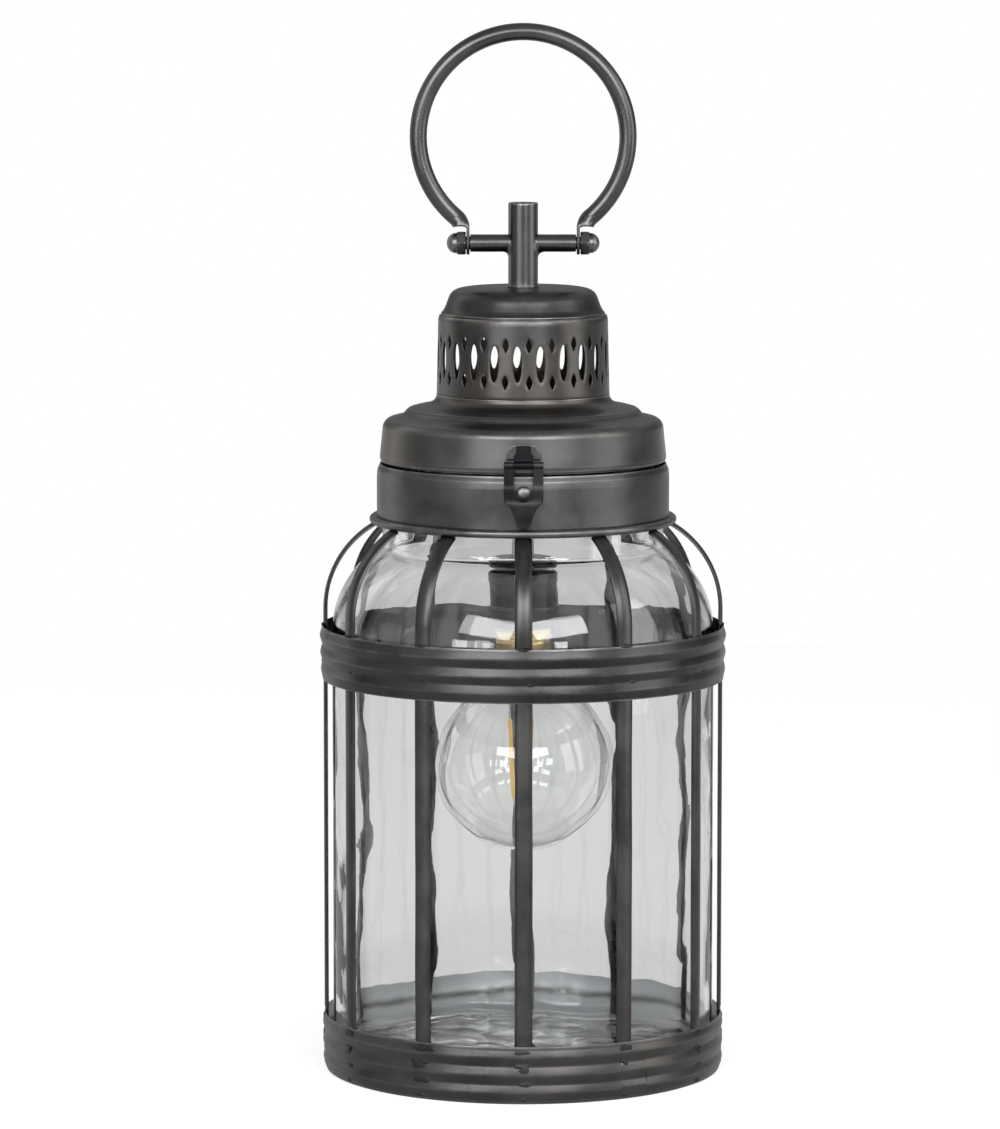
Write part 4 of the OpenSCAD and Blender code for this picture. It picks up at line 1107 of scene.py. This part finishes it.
def build(materials):
    def add(body, name, shape, finish, *stands_for, slot=None, **more):
        add_piece(name, shape, materials[finish], body, slot or finish, stands_for, **more)

    fixed, cover = "lantern_body", "lid"
    add(fixed, "base_band_rolled", base_band(), "base_metal", "base_band", slot="band_metal")
    add(fixed, "middle_band_rolled", middle_band(), "band_metal", "middle_band")
    for i in range(1, RIB_COUNT + 1):
        add(fixed, f"rib_bar_{i:02d}", rib(i), "rib_metal", f"rib_{i:02d}", sharp=50)
    add(fixed, "solder_dabs", solder_dabs(), "solder", slot="dark_metal")
    add(fixed, "jar_blown", jar(), "jar_glass", "jar_floor", "jar_wall", "jar_shoulder", sharp=75)
    add(fixed, "flange_rolled", flange(), "collar_metal", "collar_flange")
    add(fixed, "collar_spun", collar(), "collar_metal", "collar")
    add(fixed, "knob_domed", knob(), "latch_metal", "latch_knob")
    add(fixed, "socket_cover_drawn", socket_cover(), "socket_metal", "socket_cover")
    add(fixed, "socket_canopy_turned", socket_canopy(), "socket_metal", "socket_canopy")
    add("bulb", "bulb_globe", bulb_globe(), "bulb_glass", "bulb_glass", sharp=75)
    add("bulb", "bulb_screw_cap", bulb_cap(), "brass", "bulb_cap", sharp=60)
    add("bulb", "bulb_stem_flared", stem(), "bulb_glass", "bulb_stem", sharp=75)
    add("bulb", "filament_strip", filament(), "filament", "bulb_filament")
    add(cover, "lid_spun", lid(), "lid_metal", "lid_shell")
    add(cover, "gallery_pierced", gallery(), "lid_metal", "vent_gallery", thick=GALLERY_T, rim=0.12, sharp=50)
    add(cover, "cap_spun", chimney_cap(), "cap_metal", "chimney_cap")
    add(cover, "post_turned", post(), "handle_metal", "handle_post")
    add(cover, "crossbar_soldered", crossbar(), "handle_metal", "crossbar", sharp=55)
    add(cover, "cap_nuts_domed", joined([cap_nut(1), cap_nut(-1)]), "handle_metal", "cap_nuts", sharp=24)
    add("handle", "ring_bent", ring_handle(), "handle_metal", "ring_handle", sharp=50)
    add(cover, "keeper_plate", keeper_plate(), "lid_metal", slot="latch_metal", thick=0.6, rim=0.15)
    add(cover, "keeper_strap", keeper_strap(), "latch_metal", "latch_keeper", rim=0.18)
    add("hasp", "hasp_cut_plate", hasp_plate(), "latch_metal", "latch_hasp", thick=HASP_T, rim=0.2, sharp=50)
    add("hasp", "hasp_curls", hasp_curls(), "latch_metal")

    for finish, rounding, *names in (
            ("collar_metal", 0.25, "hinge_leaf_collar", "hinge_leaf_lid"),
            ("handle_metal", 0.2, "collar_rivets", "lid_rivets", "hinge_pin"),
            ("base_zinc", 0, "base_plate"), ("felt", 0.6, "jar_cushion"), ("rubber", 0.3, "neck_gasket"),
            ("zinc_steel", 0.15, "bridge_brackets", "lamp_bridge", "bridge_screws", "post_nut",
             "nipple_nuts", "nipple", "battery_contacts"),
            ("zinc_steel", 0, "bulb_leads"),
            ("black_plastic", 0.35, "battery_tray", "switch_housing", "bulb_contact"),
            ("white_plastic", 0.2, "switch_slider"), ("ceramic", 0.3, "socket_insulator"),
            ("cell_sleeve", 0.4, "batteries"), ("wire_insulation", 0, "lamp_wires"),
            ("brass", 0, "socket_shell"), ("brass", 0.1, "socket_contact")):
        for name in names:
            dress(nodes[name], materials[finish], rounding)


# ---- stage, light and camera

IMAGE_H = 1129  # px
FOCAL_PX = 5863
SENSOR = 36
CAMERA_AT = (-10.4, -2636.8, 536.6)
CAMERA_DOWN = 6.63  # degrees below level
AIM_Z = 230  # the height that the lights face

# Levels of the surroundings, where 1 is white
THROUGH_GLASS = 0.555  # backdrop behind the jar, a light grey against the white beside it
ROOM_LIGHT = 1.15  # room that lights the things inside the jar
ROOM_OUTSIDE = 0.42  # room that lights the things outside it
ROOM_MIRRORED = (0.26, 0.75)  # room in mirrors, below and above the horizon
CEILING = 0.55  # share of that left overhead
BACKDROP_MIRRORED = (0.25, -0.5)  # what the backdrop adds to that, below and above the horizon
FLOOR_GREY = 0.42
FLOOR_GLOW = 0.72  # makes up the rest to white for the camera
FLOOR_MIRRORED = 0.35  # share of that glow in mirrors
WINDOW = 8.0  # radiance of the window panes


def add_camera():
    data = bpy.data.cameras.new("camera")
    data.sensor_width = SENSOR
    data.lens = FOCAL_PX / IMAGE_H * SENSOR
    data.clip_end = 100
    camera = add_object("camera", data)
    camera.location = Vector(CAMERA_AT) * MM
    camera.rotation_euler = (radians(90 - CAMERA_DOWN), 0, 0)
    bpy.context.scene.camera = camera


def softbox(name, azimuth, elevation, distance, width, height, radiance, tint=(1, 1, 1), roll=0):
    """A rectangular lamp that faces the object. Azimuth 0 is in front, and 90 to the right."""
    a, e = radians(azimuth), radians(elevation)
    away = Vector((sin(a) * cos(e), -cos(a) * cos(e), sin(e)))
    data = bpy.data.lights.new(name, "AREA")
    data.shape = "RECTANGLE"
    data.size, data.size_y = width, height
    data.energy = radiance * pi * width * height
    data.color = tint
    lamp = add_object(name, data)
    lamp.location = Vector((0, 0, AIM_Z * MM)) + away * distance
    facing = away.to_track_quat("Z", "Y") @ Matrix.Rotation(radians(roll), 3, "Z").to_quaternion()
    lamp.rotation_euler = facing.to_euler()
    lamp.visible_camera = False


def add_lights():
    cool, warm = (0.96, 0.97, 1), (1, 0.99, 0.97)
    for name, azimuth, elevation, width, height, roll in (
            ("window_left", -22, 23.5, 1.5, 0.95, -10), ("window_right", 22, 23.5, 1.5, 0.95, 10),
            ("pane_1", -38, 4, 0.42, 0.4, 0), ("pane_2", -24, 4, 0.42, 0.4, 0),
            ("pane_3", 22, 4, 0.36, 0.35, 0)):
        softbox(name, azimuth, elevation, 2.6, width, height, WINDOW, cool, roll)
    softbox("side_right", 72, 14, 1.9, 1.0, 1.7, 2.4, warm)
    softbox("side_left", -122, 14, 1.9, 0.8, 1.7, 0.9, warm)
    softbox("top", 10, 80, 2.0, 1.2, 1.2, 0.25)


def add_world():
    """White for the camera, and light grey through glass, where a brighter room lights what is inside the
    jar. Mirrors see a dim room, which the backdrop lightens low down behind the object and darkens above."""
    world = bpy.data.worlds.new("studio")
    bpy.context.scene.world = world
    w = Tree(world)
    w.tree.nodes.clear()
    split = w.node("SeparateXYZ")
    w.fill(split, Vector=w.node("TexCoord").outputs["Generated"])
    depth, height = split.outputs["Y"], split.outputs["Z"]

    def zone(value, *levels):
        return w.ramp(value, *levels, kind="SMOOTHSTEP")

    behind = zone(depth, -0.15, 0.35, 0, 1)
    backdrop = w.times(behind, zone(height, 0.25, 0.7, 1, 0))
    gain = zone(height, -0.06, 0.08, *BACKDROP_MIRRORED)
    room = w.times(zone(height, -0.16, 0.1, *ROOM_MIRRORED), zone(height, 0.6, 0.9, 1, CEILING))
    mirrored = w.plus(w.times(backdrop, gain), room)
    rays = w.node("LightPath").outputs
    unmirrored = w.maths("LESS_THAN", rays["Glossy Depth"], 0.5)
    lighting = w.times(w.maths("GREATER_THAN", rays["Diffuse Depth"], 0.5), ROOM_LIGHT - THROUGH_GLASS)
    through = w.times(unmirrored, w.plus(lighting, THROUGH_GLASS))
    through = w.most(through, w.times(behind, THROUGH_GLASS))  # what the jar's floor mirrors
    seen = w.most(rays["Is Camera Ray"], w.times(rays["Is Transmission Ray"], through))
    glossy = w.most(rays["Is Glossy Ray"], w.maths("SUBTRACT", 1, unmirrored))
    level = w.plus(w.times(glossy, mirrored), w.times(w.maths("SUBTRACT", 1, glossy), ROOM_OUTSIDE))
    background = w.node("Background")
    w.fill(background, Color=(1, 1, 1), Strength=w.most(level, seen))
    w.fill(w.node("OutputWorld"), Surface=background.outputs[0])


def add_floor():
    """A wide round floor that takes the shadow. It glows white for the camera, and dimmer in mirrors and
    through glass."""
    bm = bmesh.new()
    bmesh.ops.create_circle(bm, cap_ends=True, segments=128, radius=1.5)
    mesh = bpy.data.meshes.new("floor")
    bm.to_mesh(mesh)
    bm.free()
    floor = add_object("floor", mesh)
    n = Nodes("white_floor")
    rays = n.node("LightPath").outputs
    seen = n.most(rays["Is Camera Ray"], n.times(rays["Is Transmission Ray"], THROUGH_GLASS))
    seen = n.most(seen, n.times(rays["Is Glossy Ray"], FLOOR_MIRRORED))
    n.set(Base_Color=(FLOOR_GREY,) * 3, Roughness=0.9, Specular_IOR_Level=0.0, Emission_Color=(1, 1, 1),
          Emission_Strength=n.times(seen, FLOOR_GLOW))
    mesh.materials.append(n.material)


build(make_materials())
add_floor()
add_lights()
add_world()
add_camera()
bpy.context.scene.view_settings.view_transform = "Standard"
